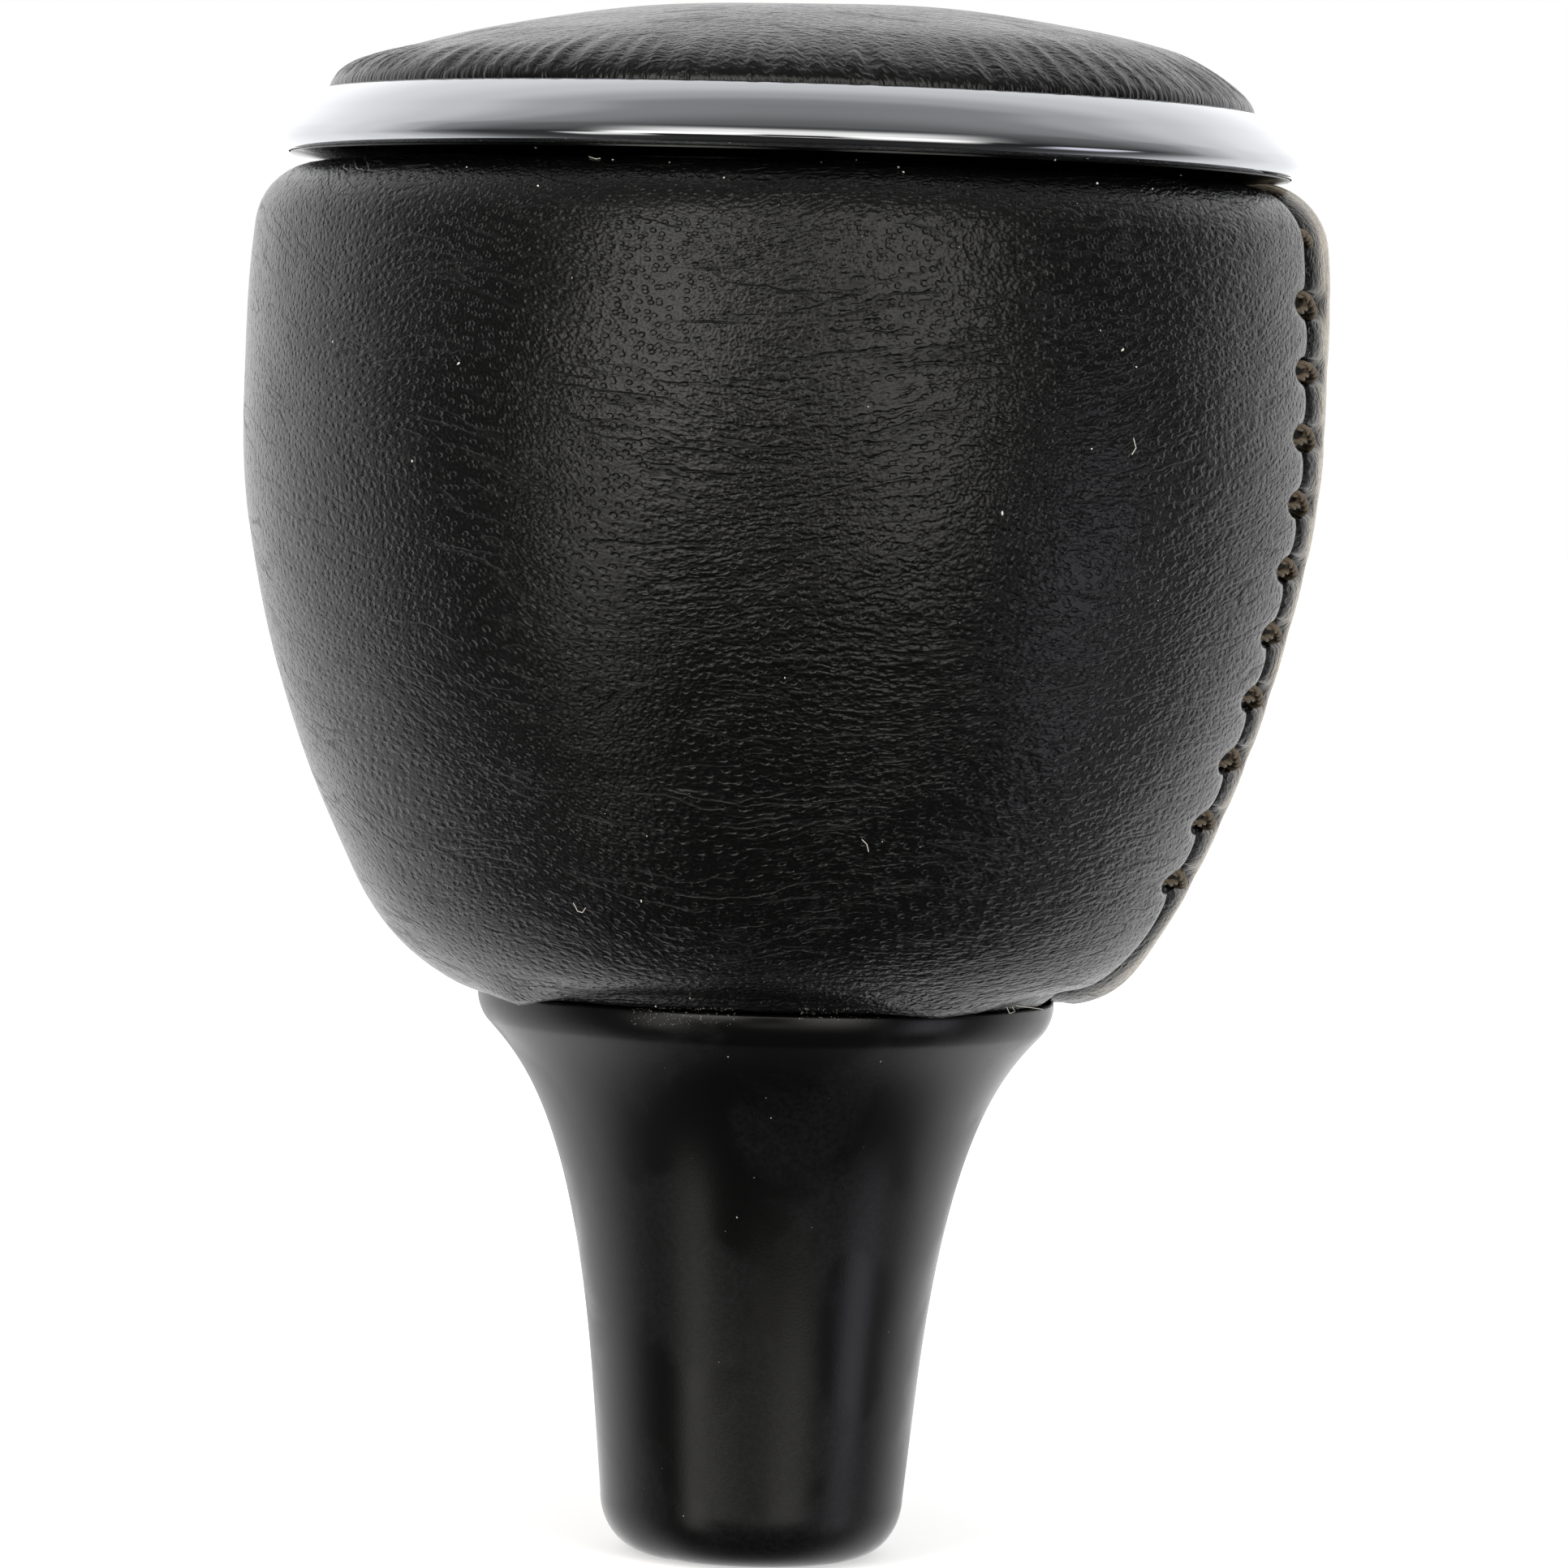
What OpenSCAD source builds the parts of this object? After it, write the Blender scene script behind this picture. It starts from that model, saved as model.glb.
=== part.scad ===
// Gear shift knob: a leather-wrapped head with a laced seam and a ringed, padded top, on a flared neck.
// The origin is the centre of the foot's flat face, Z runs up the lever's axis and +X points at the seam.

/* [Neck] */
// Height of the neck from its foot to the collar's top face
neck_h = 33.2; // [31:0.1:36]
// Diameter of the flat ring that the foot ends in
foot_d = 12; // [11.8:0.1:13]
// Width of the foot's rounded edge
foot_round = 2.95; // [2.4:0.05:3.4]
// Height of the foot's rounded edge
foot_rise = 3.5; // [2.8:0.1:4]
// How much the shank's radius grows for each millimetre of height
shank_taper = 0.096; // [0.07:0.002:0.12]
// Height at which the shank begins to flare
flare_start = 9.5; // [8:0.5:12]
// Diameter of the collar
collar_d = 34; // [32:0.1:35]
// Radius of the collar's rounded side
collar_lip = 2.8; // [2.2:0.1:3.4]
// How far the collar's side turns under, in degrees
collar_turn = 36; // [28:1:44]
// Radius of the collar's top edge
collar_round = 0.2; // [0.1:0.05:0.4]
// How fast the flare widens where it meets the collar
collar_slope = 0.9; // [0.7:0.05:1.1]
// Diameter of the spigot that locates the head
spigot_d = 26; // [24:0.5:27]
// Height of the spigot inside the head
spigot_in = 2.2; // [1.5:0.1:3]

/* [Lever] */
// Diameter of the clearance hole that the lever enters by
socket_d = 10.6; // [10.2:0.1:11]
// Width of the chamfer at the hole's mouth
socket_chamfer = 0.25; // [0.1:0.05:0.4]
// Depth of the clearance hole below the thread
socket_h = 13; // [11:0.5:14]
// Minor diameter of the lever's thread
thread_d = 8.5; // [8:0.1:8.8]
// Length of the threaded insert
insert_h = 16; // [13:0.5:16.5]
// Diameter of the insert over its knurls
insert_d = 14.4; // [13.6:0.1:15]
// Depth of the knurls and of the groove between them
knurl_depth = 0.4; // [0.3:0.05:0.6]
// Number of teeth round each knurl
knurl_teeth = 30; // [20:2:40]
// Free height above the insert for the lever's tip
relief_h = 4; // [3:0.5:5]

/* [Head] */
// Height of the leather head above the collar
head_h = 48.1; // [46:0.1:52]
// Diameter of the head at its widest
head_d = 63.7; // [62:0.1:66]
// Distance of the widest line below the top of the leather
widest_down = 13.3; // [12:0.1:15]
// How far the side would come in from the widest line down to the collar
side_in = 10.7; // [9.5:0.1:11.5]
// How steadily the side comes in: 2 is a parabola
side_power = 1.9; // [1.8:0.05:2.2]
// Height over which the side rounds under to the collar
under_h = 7.1; // [6.4:0.1:8]
// Height above the collar at which the underside, carried straight on, would meet the side
under_rise = 1; // [0.6:0.1:1.4]
// How much the head's radius falls from the widest line to the shoulder
shoulder_in = 0.5; // [0.3:0.02:0.7]
// Radius of the shoulder
shoulder_r = 4; // [3.4:0.1:4.4]
// Width of the leather's top hem inside the opening in the ring
hem_top_w = 3.05; // [2.6:0.05:3.4]
// Thickness of the leather
leather_t = 1.2; // [1:0.1:1.4]
// Thickness of the foam under the leather
foam_t = 1.5; // [1:0.1:1.8]
// Thickness of the core's floor
floor_t = 2.5; // [2:0.1:3.5]
// Thickness of the core's wall beside its floor
core_wall = 4.2; // [3.6:0.1:5]
// Width of the step below the core's mouth
core_step = 1; // [0.6:0.1:1.4]
// Thickness of the ribs inside the core
rib_t = 1.6; // [1.2:0.1:2.4]
// Height of the ribs above the floor
rib_h = 14; // [8:1:20]

/* [Seam] */
// Gap between the two edges of the leather
seam_gap = 0.5; // [0.3:0.05:0.8]
// Height above the collar at which the gap begins
seam_low = 4.5; // [4:0.5:6]
// Distance of the topmost stitch below the top of the leather
first_stitch = 3; // [2.5:0.5:5]
// Distance from stitch to stitch along the seam
stitch_pitch = 3.85; // [3.4:0.05:4.5]
// Number of stitches
stitches = 11; // [8:1:11]
// Length across the seam of the eye that each stitch pulls open
eye_w = 4.2; // [3.8:0.1:4.6]
// Height of the eye
eye_h = 1.6; // [1.4:0.1:2]
// Thickness of the thread
thread_t = 0.5; // [0.4:0.05:0.6]
// Angle of each strand to the seam's square
thread_angle = 8; // [4:1:10]

/* [Bezel] */
// How far the bright ring's edge stands in from the widest line of the head
ring_inset = 1.65; // [1.4:0.05:2.4]
// Height of the ring
ring_h = 3.9; // [3.5:0.1:4.5]
// Width of the ring, from its edge to its opening
ring_w = 2.95; // [2.75:0.05:3.2]
// Gap left between the ring's lip and the top of the leather
ring_gap = 0.5; // [0.4:0.05:0.8]
// Height of the ring's lip over the flange that it covers
ring_lip = 0.5; // [0.3:0.05:0.6]
// Width of the ring's lip
ring_lip_w = 0.4; // [0.3:0.05:0.6]
// Number of pegs that hold the ring in its carrier
ring_pegs = 6; // [4:1:8]
// Diameter of each peg
peg_d = 1; // [0.8:0.1:1.2]
// Length of each peg
peg_h = 0.5; // [0.3:0.05:0.55]
// How far inside the ring's opening the carrier's seat on the leather ends
seat_in = 0.65; // [0.4:0.05:1]
// Height of the carrier's rim above the leather
rim_h = 1.9; // [1.7:0.1:2.3]
// Thickness of the carrier's floor
carrier_t = 2; // [1.8:0.1:2.4]
// Depth of the carrier's floor below the leather's top
dish_depth = 2.3; // [2:0.1:2.6]
// Thickness of the wall round the dish
dish_wall = 1.6; // [1.2:0.1:1.8]

/* [Pad] */
// Gap between the pad and the ring round it
pad_gap = 0.15; // [0.1:0.05:0.3]
// Height of the pad's side, up to where the dome begins
pad_side = 2.4; // [2.4:0.1:3]
// Height of the dome
dome_h = 5.75; // [4.5:0.25:7]
// Roundness of the dome: 1 is an ellipse, and more is flatter
dome_power = 1.16; // [1.05:0.01:1.3]
// Width of the leather hem turned under the pad
pad_hem = 4.6; // [3:0.1:4.8]
// Thickness of the pad's plate
plate_t = 1.2; // [1:0.1:1.3]
// Distance of the hooks in from the wall of the dish
hook_in = 8.7; // [8:0.1:9.5]
// Width of a hook
hook_w = 4; // [3:0.2:5]
// Thickness of a hook
hook_t = 1.5; // [1.2:0.1:1.8]
// How far a hook catches under the carrier's floor
hook_catch = 0.8; // [0.5:0.1:1]

/* [Screws] */
// Diameter of the screws
screw_d = 2.5; // [2.2:0.1:3]
// Diameter of a screw's head
screw_head_d = 5; // [4.6:0.1:5.4]
// Height of a screw's head
screw_head_h = 1.9; // [1.6:0.1:2.1]
// Length of a screw below its head
screw_l = 9; // [8:0.5:10]
// Number of screws in the neck, of those in the carrier, and of the pad's hooks
screws = 3; // [3:1:4]
// Distance of the neck's screws in from the side of the spigot
neck_screw_in = 3.4; // [3:0.1:3.6]
// Distance of the carrier's screws in from the wall of the dish
carrier_screw_in = 4.7; // [4.4:0.1:5.2]
// Diameter of the bosses that take the carrier's screws
boss_d = 7; // [6:0.2:7.6]

/* [Hidden] */
$fn = 64;

// Clearance round what slips into or over another piece
slip = 0.1;
// Extra length of a cutter past the face that it cuts
past = 1;

// Levels above the foot
head_base = neck_h;
core_base = head_base + leather_t;
spigot_top = core_base + spigot_in;
floor_top = spigot_top + floor_t;
head_top = head_base + head_h;
core_top = head_top - leather_t;
dish_base = head_top - dish_depth;
dish_floor = dish_base + carrier_t;
rim_top = head_top + rim_h;
ring_base = head_top + ring_gap;
flange_top = ring_base + ring_lip;
plate_base = rim_top + leather_t;
plate_top = plate_base + plate_t;
pad_top = rim_top + pad_side + dome_h;
insert_top = socket_h + insert_h;

// Radii
foot_r = foot_d / 2;
collar_r = collar_d / 2;
head_r = head_d / 2;
ring_r = head_r - ring_inset;
ring_open_r = ring_r - ring_w;
rim_r = ring_open_r - slip;
pad_r = ring_open_r - pad_gap;
plate_r = pad_r - leather_t;
hem_top_r = ring_open_r - hem_top_w;
carrier_seat_r = ring_open_r - seat_in;
dish_r = hem_top_r - 4 * slip;
dish_in_r = dish_r - dish_wall;
flange_r = ring_r - 2 * ring_lip_w - slip;
hook_r = dish_in_r - hook_in;
neck_screw_r = spigot_d / 2 - neck_screw_in;
carrier_screw_r = dish_in_r - carrier_screw_in;

// Points on an arc about c, from angle a to angle b
function arc(c, r, a, b, n) = [for (i = [0:n]) let (t = a + (b - a) * i / n) c + r * [cos(t), sin(t)]];

// Points on a curve that leaves p towards q and arrives at s from r
function bend(p, q, r, s, n) =
    [for (i = [0:n]) let (t = i / n, u = 1 - t)
        u * u * u * p + 3 * u * u * t * q + 3 * u * t * t * r + t * t * t * s];

function unit(v) = v / norm(v);
function left_of(v) = [-v.y, v.x];
function reversed(p) = [for (i = [len(p) - 1:-1:0]) p[i]];
function part_of(p, a, b) = [for (i = [a:b]) p[i]];

// The same line moved d to the left of its direction, with its corners kept square
function inset(p, d) =
    [for (i = [0:len(p) - 1])
        let (a = left_of(unit(i > 0 ? p[i] - p[i - 1] : p[1] - p[0])),
             b = left_of(unit(i < len(p) - 1 ? p[i + 1] - p[i] : p[i] - p[i - 1])))
        p[i] + d * (a + b) / (1 + a * b)];

// Side of the head above where it rounds under: its radius at height z over the foot
shoulder_z = head_top - shoulder_r;
widest_z = head_top - widest_down;
widest_h = widest_z - head_base;
function side(z) =
    z < widest_z ? head_r - side_in * pow((widest_z - z) / widest_h, side_power)
                 : head_r - shoulder_in * pow((z - widest_z) / (shoulder_z - widest_z), 2);
function side_slope(z) = (side(z + 0.01) - side(z - 0.01)) / 0.02;

// Outline of the head, from its hem under the collar's edge, up the side and in over the shoulder
under_z = head_base + under_h;
under_q = [side(under_z) - side_slope(under_z) * (under_h - under_rise), head_base + under_rise];
lean = atan(-side_slope(shoulder_z));
side_end = shoulder_z + shoulder_r * sin(lean);
shoulder_c = [side(side_end) - shoulder_r * cos(lean), shoulder_z];
hem_low_r = spigot_d / 2 + 4 * slip;
under_n = 8;
side_n = 14;
shoulder_n = 6;
under_curve = bend([collar_r, head_base], ([collar_r, head_base] + 2 * under_q) / 3,
                   ([side(under_z), under_z] + 2 * under_q) / 3, [side(under_z), under_z], under_n);
side_curve = [for (i = [1:side_n]) let (z = under_z + (side_end - under_z) * i / side_n) [side(z), z]];
shoulder_curve = arc(shoulder_c, shoulder_r, lean, 90, shoulder_n);
head_line = concat([[hem_low_r, head_base]], under_curve, side_curve,
                   part_of(shoulder_curve, 1, shoulder_n), [[hem_top_r, head_top]]);
// The foam runs from part-way round the underside to the top of the shoulder
foam_first = 4;
foam_last = len(head_line) - 2;
leather_in = inset(head_line, leather_t);
foam_in = inset(head_line, leather_t + foam_t);

// Outline of the pad, from its hem under the plate, up its side and over the dome, outside and inside
function dome(r, z, top) =
    [for (i = [0:20]) let (a = 4.5 * i) [r * cos(a), z + (top - z) * pow(sin(a), dome_power)]];
pad_round = 0.6;
pad_line = concat([[pad_r - pad_hem, rim_top]],
                  arc([pad_r - pad_round, rim_top + pad_round], pad_round, -90, 0, 3),
                  dome(pad_r, rim_top + pad_side, pad_top));
foam_dome = dome(plate_r, plate_top, pad_top - leather_t);

// A stitch's height on the seam, found from the one above it
function stitch_z(i) =
    i == 0 ? head_top - first_stitch
           : let (z = stitch_z(i - 1)) z - stitch_pitch * cos(atan(side_slope(z)));

// Places its children on the seam's surface at stitch i, with X outward and Z up along the leather
module at_stitch(i) {
    z = stitch_z(i);
    translate([side(z), 0, z]) rotate([0, atan(side_slope(z)), 0]) children();
}

// A round of n copies on a circle of radius r
module round_of(n, r, turn = 0)
    for (i = [0:n - 1]) rotate([0, 0, turn + 360 * i / n]) translate([r, 0, 0]) children();

// The two circles of screws are turned apart, and the hooks stand between the carrier's screws
neck_screw_turn = 60;
carrier_screw_turn = 0;
hook_turn = 180 / screws;

// A pan-head screw hanging from z = 0, with a cross recess
module screw() {
    recess_w = 0.6;
    recess_l = screw_head_d * 0.55;
    recess_h = screw_head_h * 0.55;
    difference() {
        union() {
            rotate_extrude()
                polygon(concat([[0, 0], [screw_head_d / 2, 0]],
                               arc([screw_head_d / 2 - screw_head_h / 2, screw_head_h / 2], screw_head_h / 2,
                                   0, 90, 4),
                               [[0, screw_head_h]]));
            translate([0, 0, -screw_l]) cylinder(r1 = screw_d / 4, r2 = screw_d / 2, h = screw_d / 2);
            translate([0, 0, screw_d / 2 - screw_l]) cylinder(d = screw_d, h = screw_l - screw_d / 2);
        }
        for (a = [0, 90])
            rotate([0, 0, a]) translate([-recess_l / 2, -recess_w / 2, screw_head_h - recess_h])
                cube([recess_l, recess_w, recess_h + past]);
    }
}

// The hole that a screw's thread cuts into, from z = 0 down
module pilot() translate([0, 0, -screw_l - slip]) cylinder(d = screw_d, h = screw_l + slip + past);

// Black moulded neck: rounded foot, tapering shank that flares into a collar, and the head's spigot
module neck() {
    shank_r = foot_r + foot_round;
    flare_r = shank_r + shank_taper * (flare_start - foot_rise);
    lip = arc([collar_r - collar_lip, neck_h - collar_round], collar_lip, -collar_turn, 0, 6);
    flare_h = lip[0].y - flare_start;
    outline = concat(
        [[0, 0]],
        [for (p = arc([0, 1], 1, -90, 0, 8)) [foot_r + foot_round * p.x, foot_rise * p.y]],
        bend([flare_r, flare_start], [flare_r, flare_start] + 0.76 * flare_h * [shank_taper, 1],
             lip[0] - 0.1 * flare_h * [collar_slope, 1], lip[0], 20),
        part_of(lip, 1, 5),
        arc([collar_r - collar_round, neck_h - collar_round], collar_round, 0, 90, 3),
        [[spigot_d / 2, neck_h], [spigot_d / 2, spigot_top], [0, spigot_top]]);
    color([0.04, 0.04, 0.045])
    difference() {
        rotate_extrude() polygon(outline);
        translate([0, 0, -past]) cylinder(d = socket_d, h = socket_h + past);
        translate([0, 0, -socket_chamfer])
            cylinder(d1 = socket_d + 4 * socket_chamfer, d2 = socket_d, h = 2 * socket_chamfer);
        translate([0, 0, socket_h]) cylinder(d = insert_d, h = insert_h);
        translate([0, 0, insert_top - past]) cylinder(d = socket_d, h = relief_h + past);
        translate([0, 0, spigot_top + floor_t])
            round_of(screws, neck_screw_r, neck_screw_turn) pilot();
    }
}

// Brass insert that the lever screws into, with two knurled bands that the neck is moulded round
module threaded_insert() {
    band = insert_h * 0.4;
    waist_d = insert_d - 3 * knurl_depth;
    teeth = [for (i = [0:2 * knurl_teeth - 1])
        let (a = 180 * i / knurl_teeth, r = insert_d / 2 - knurl_depth * (i % 2)) r * [cos(a), sin(a)]];
    color([0.72, 0.56, 0.28])
    translate([0, 0, socket_h])
    difference() {
        union() {
            for (z = [0, insert_h - band]) translate([0, 0, z]) linear_extrude(band) polygon(teeth);
            translate([0, 0, band / 2]) cylinder(d = waist_d, h = insert_h - band);
        }
        translate([0, 0, -past]) cylinder(d = thread_d, h = insert_h + 2 * past);
    }
}

// Moulded core: its outside is stepped in for the foam, and its cavity has ribs and screw bosses
module head_core() {
    outside = concat(part_of(leather_in, 0, foam_first), part_of(foam_in, foam_first, foam_last),
                     part_of(leather_in, foam_last, foam_last + 1));
    mouth_z = dish_base - core_step;
    cavity_floor_r = side(floor_top) - leather_t - foam_t - core_wall;
    cavity_top_r = hem_top_r - core_step;
    cavity = [[0, floor_top], [cavity_floor_r, floor_top], [cavity_top_r, mouth_z],
              [hem_top_r, mouth_z], [hem_top_r, core_top + past], [0, core_top + past]];
    color([0.09, 0.09, 0.1])
    difference() {
        union() {
            difference() {
                rotate_extrude() polygon(concat([[0, core_base]], outside, [[0, core_top]]));
                rotate_extrude() polygon(cavity);
            }
            intersection() {
                rotate_extrude()
                    polygon([[0, floor_top - past], [cavity_floor_r + past, floor_top - past],
                             [cavity_top_r + past, mouth_z], [cavity_top_r + past, dish_base + past],
                             [0, dish_base + past]]);
                translate([0, 0, core_base])
                    round_of(screws, carrier_screw_r, carrier_screw_turn) {
                        cylinder(d = boss_d, h = dish_base - core_base);
                        translate([0, -rib_t / 2, 0]) cube([boss_d, rib_t, mouth_z - past - core_base]);
                    }
            }
            intersection() {
                rotate_extrude()
                    polygon([[spigot_d / 2, floor_top - past / 2], [cavity_floor_r, floor_top - past / 2],
                             [cavity_top_r + past / 2, mouth_z], [spigot_d / 2, mouth_z]]);
                translate([0, 0, core_base])
                    round_of(screws, 0, carrier_screw_turn + 180 / screws)
                        translate([0, -rib_t / 2, 0]) cube([head_r, rib_t, floor_top + rib_h - core_base]);
            }
        }
        translate([0, 0, core_base - past]) cylinder(d = spigot_d + 2 * slip, h = spigot_in + past);
        translate([0, 0, spigot_top - past])
            round_of(screws, neck_screw_r, neck_screw_turn)
                cylinder(d = screw_d + 4 * slip, h = floor_t + 2 * past);
        translate([0, 0, dish_floor]) round_of(screws, carrier_screw_r, carrier_screw_turn) pilot();
    }
}

// The screws that pull the core down on the neck's spigot
module neck_screws()
    color([0.7, 0.7, 0.72])
    translate([0, 0, floor_top]) round_of(screws, neck_screw_r, neck_screw_turn) screw();

// Foam between the core and the leather
module foam_sleeve()
    color([0.2, 0.2, 0.21])
    rotate_extrude()
        polygon(concat(part_of(leather_in, foam_first, foam_last),
                       reversed(part_of(foam_in, foam_first, foam_last))));

// Leather panel wound round the head: its hems are turned in above and below, and its two ends meet
// at the seam in a narrow gap that every stitch pulls open into an eye
module leather_wrap() {
    eye = [for (i = [0:19]) let (a = 18 * i) [eye_h / 2 * cos(a), eye_w / 2 * sin(a)]];
    color([0.07, 0.07, 0.075])
    difference() {
        rotate_extrude() polygon(concat(head_line, reversed(leather_in)));
        translate([0, -seam_gap / 2, head_base + seam_low])
            cube([head_r + past, seam_gap, head_h]);
        for (i = [0:stitches - 1])
            at_stitch(i) translate([-3 * leather_t, 0, 0]) rotate([0, 90, 0])
                linear_extrude(5 * leather_t) polygon(eye);
    }
}

// The lacing: in each eye two strands arch across the seam, and one crosses over the other
module seam_lacing() {
    color([0.06, 0.05, 0.045])
    for (i = [0:stitches - 1])
        at_stitch(i) {
            rotate([thread_angle, 0, 0]) strand(thread_t * 0.5);
            rotate([-thread_angle, 0, 0]) strand(thread_t * 0.95);
        }
}

// One strand, an arch of thread across the seam whose top lies at the given depth in the leather
module strand(depth) {
    span = eye_w * 0.68;
    rise = leather_t * 0.82 - depth;
    arch_r = (span * span / 4 + rise * rise) / (2 * rise);
    half = asin(span / 2 / arch_r);
    translate([-depth - arch_r, 0, 0])
        rotate([0, 0, -half]) rotate_extrude(angle = 2 * half) translate([arch_r, 0]) circle(d = thread_t);
}

// Black carrier: a dished floor on the core's bosses, a rim that clamps the leather's hem and a
// flange whose underside slopes out to the ring's lip
module bezel_carrier() {
    section = [[0, dish_base], [dish_r, dish_base], [dish_r, head_top], [carrier_seat_r, head_top],
               [flange_r, ring_base - slip], [flange_r, flange_top], [rim_r, flange_top],
               [rim_r, rim_top], [dish_in_r, rim_top], [dish_in_r, dish_floor], [0, dish_floor]];
    color([0.03, 0.03, 0.03])
    difference() {
        rotate_extrude() polygon(section);
        translate([0, 0, dish_base - past]) {
            round_of(screws, carrier_screw_r, carrier_screw_turn)
                cylinder(d = screw_d + 4 * slip, h = carrier_t + 2 * past);
            round_of(screws, hook_r, hook_turn)
                translate([-hook_t / 2 - slip, -hook_w / 2 - slip, 0])
                    cube([hook_t + hook_catch + 2 * slip, hook_w + 2 * slip, carrier_t + 2 * past]);
        }
        translate([0, 0, flange_top - peg_h - slip])
            round_of(ring_pegs, (rim_r + flange_r) / 2) cylinder(d = peg_d + slip, h = peg_h + past);
    }
}

// The screws that hold the carrier to the core's bosses
module carrier_screws()
    color([0.7, 0.7, 0.72])
    translate([0, 0, dish_floor]) round_of(screws, carrier_screw_r, carrier_screw_turn) screw();

// Bright-plated ring: a rounded face, a lip that hides the carrier's flange, and pegs below
module chrome_ring() {
    top = [ring_open_r, ring_base + ring_h];
    wide = [ring_r, ring_base + 0.65];
    lip = [ring_r - ring_lip_w, ring_base];
    corner = [ring_open_r + 0.63 * (ring_r - ring_open_r), ring_base + 0.82 * ring_h];
    face = concat(bend(lip, [ring_r - 0.1, ring_base + 0.05], [ring_r, ring_base + 0.2], wide, 4),
                  part_of(bend(wide, (wide + 2 * corner) / 3, (top + 2 * corner) / 3, top, 10), 1, 10));
    color([0.82, 0.83, 0.85]) {
        rotate_extrude()
            polygon(concat([[flange_r + slip, ring_base]], face,
                           [[ring_open_r, flange_top], [flange_r + slip, flange_top]]));
        translate([0, 0, flange_top - peg_h])
            round_of(ring_pegs, (rim_r + flange_r) / 2) cylinder(d = peg_d, h = peg_h + ring_lip);
    }
}

// Moulded plate of the pad: a rib centres it in the carrier's dish and hooks snap under the floor
module pad_plate() {
    rib_w = 1.4;
    rib_in = 0.8;
    rib_r = dish_in_r - 2 * slip;
    catch_z = dish_base - slip;
    hook_line = [[-hook_t / 2, plate_base + plate_t / 2], [-hook_t / 2, catch_z - 3 * hook_catch],
                 [hook_t / 2, catch_z - 3 * hook_catch], [hook_t / 2 + hook_catch, catch_z - hook_catch],
                 [hook_t / 2 + hook_catch, catch_z], [hook_t / 2, catch_z],
                 [hook_t / 2, plate_base + plate_t / 2]];
    color([0.12, 0.12, 0.13]) {
        rotate_extrude()
            polygon([[0, plate_base], [rib_r - rib_w, plate_base], [rib_r - rib_w, rim_top - rib_in],
                     [rib_r, rim_top - rib_in], [rib_r, plate_base], [plate_r, plate_base],
                     [plate_r, plate_top], [0, plate_top]]);
        round_of(screws, hook_r, hook_turn)
            rotate([90, 0, 0]) linear_extrude(hook_w, center = true) polygon(hook_line);
    }
}

// Foam dome of the pad
module pad_foam()
    color([0.2, 0.2, 0.21])
    rotate_extrude()
        polygon(concat([[0, plate_top]], foam_dome));

// Leather of the pad, drawn over the foam and turned under the plate's edge
module pad_leather()
    color([0.07, 0.07, 0.075])
    rotate_extrude()
        polygon(concat(pad_line, reversed(foam_dome), [[plate_r, plate_base], [pad_r - pad_hem, plate_base]]));

neck();
threaded_insert();
head_core();
neck_screws();
foam_sleeve();
leather_wrap();
seam_lacing();
bezel_carrier();
carrier_screws();
chrome_ring();
pad_plate();
pad_foam();
pad_leather();
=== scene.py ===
import math
import random

import bmesh
import bpy
import numpy as np
from mathutils import Matrix, Vector


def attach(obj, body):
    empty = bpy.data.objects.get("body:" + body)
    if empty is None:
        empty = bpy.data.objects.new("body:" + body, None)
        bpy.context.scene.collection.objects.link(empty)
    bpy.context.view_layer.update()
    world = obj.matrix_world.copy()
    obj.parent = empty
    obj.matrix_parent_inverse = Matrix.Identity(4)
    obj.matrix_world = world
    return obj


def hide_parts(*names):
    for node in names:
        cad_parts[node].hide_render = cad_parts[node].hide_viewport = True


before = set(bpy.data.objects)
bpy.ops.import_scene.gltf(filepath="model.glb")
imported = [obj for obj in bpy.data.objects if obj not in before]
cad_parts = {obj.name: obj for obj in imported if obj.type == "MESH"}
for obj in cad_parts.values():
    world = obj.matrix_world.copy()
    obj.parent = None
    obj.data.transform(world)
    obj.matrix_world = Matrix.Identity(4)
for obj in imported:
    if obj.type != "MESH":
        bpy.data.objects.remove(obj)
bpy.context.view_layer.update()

# Neck: one black moulding with a rounded foot, a tapering shank that flares into the collar, and a
# socket up its middle. It is glass-filled nylon out of a finely eroded tool, so it has a satin skin,
# and the collar under the leather has been handled and is a little dusty.
MM = 0.001
NECK_H = 33.2
FOOT_R = 6.0
FOOT_ROUND = 2.95
FOOT_RISE = 3.5
SHANK_TAPER = 0.096
FLARE_START = 9.5
COLLAR_R = 17.0
COLLAR_LIP = 2.8
COLLAR_TURN = 36
COLLAR_ROUND = 0.2
COLLAR_SLOPE = 0.9
FLARE_HOLD = 0.76
COLLAR_HOLD = 0.1
SPIGOT_R = 13.0
SPIGOT_TOP = 36.6
SOCKET_R = 5.3
SOCKET_H = 13.0
SOCKET_CHAMFER = 0.25
INSERT_R = 7.2
INSERT_TOP = 29.0
RELIEF_TOP = 33.0
TURN_STEPS = 256
FILM_PATCH = 9.0
FILM_LINT = 0.3


def arc(centre, radius, start, end, count):
    """Points on an arc about centre, from angle start to angle end in degrees."""
    angles = [math.radians(start + (end - start) * i / count) for i in range(count + 1)]
    return [(centre[0] + radius * math.cos(a), centre[1] + radius * math.sin(a)) for a in angles]


def bend(p, q, r, s, count):
    """Points on the curve that leaves p towards q and arrives at s from r."""
    points = []
    for i in range(count + 1):
        t = i / count
        u = 1 - t
        weights = (u ** 3, 3 * u * u * t, 3 * u * t * t, t ** 3)
        points.append(tuple(sum(w * c[k] for w, c in zip(weights, (p, q, r, s))) for k in (0, 1)))
    return points


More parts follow.
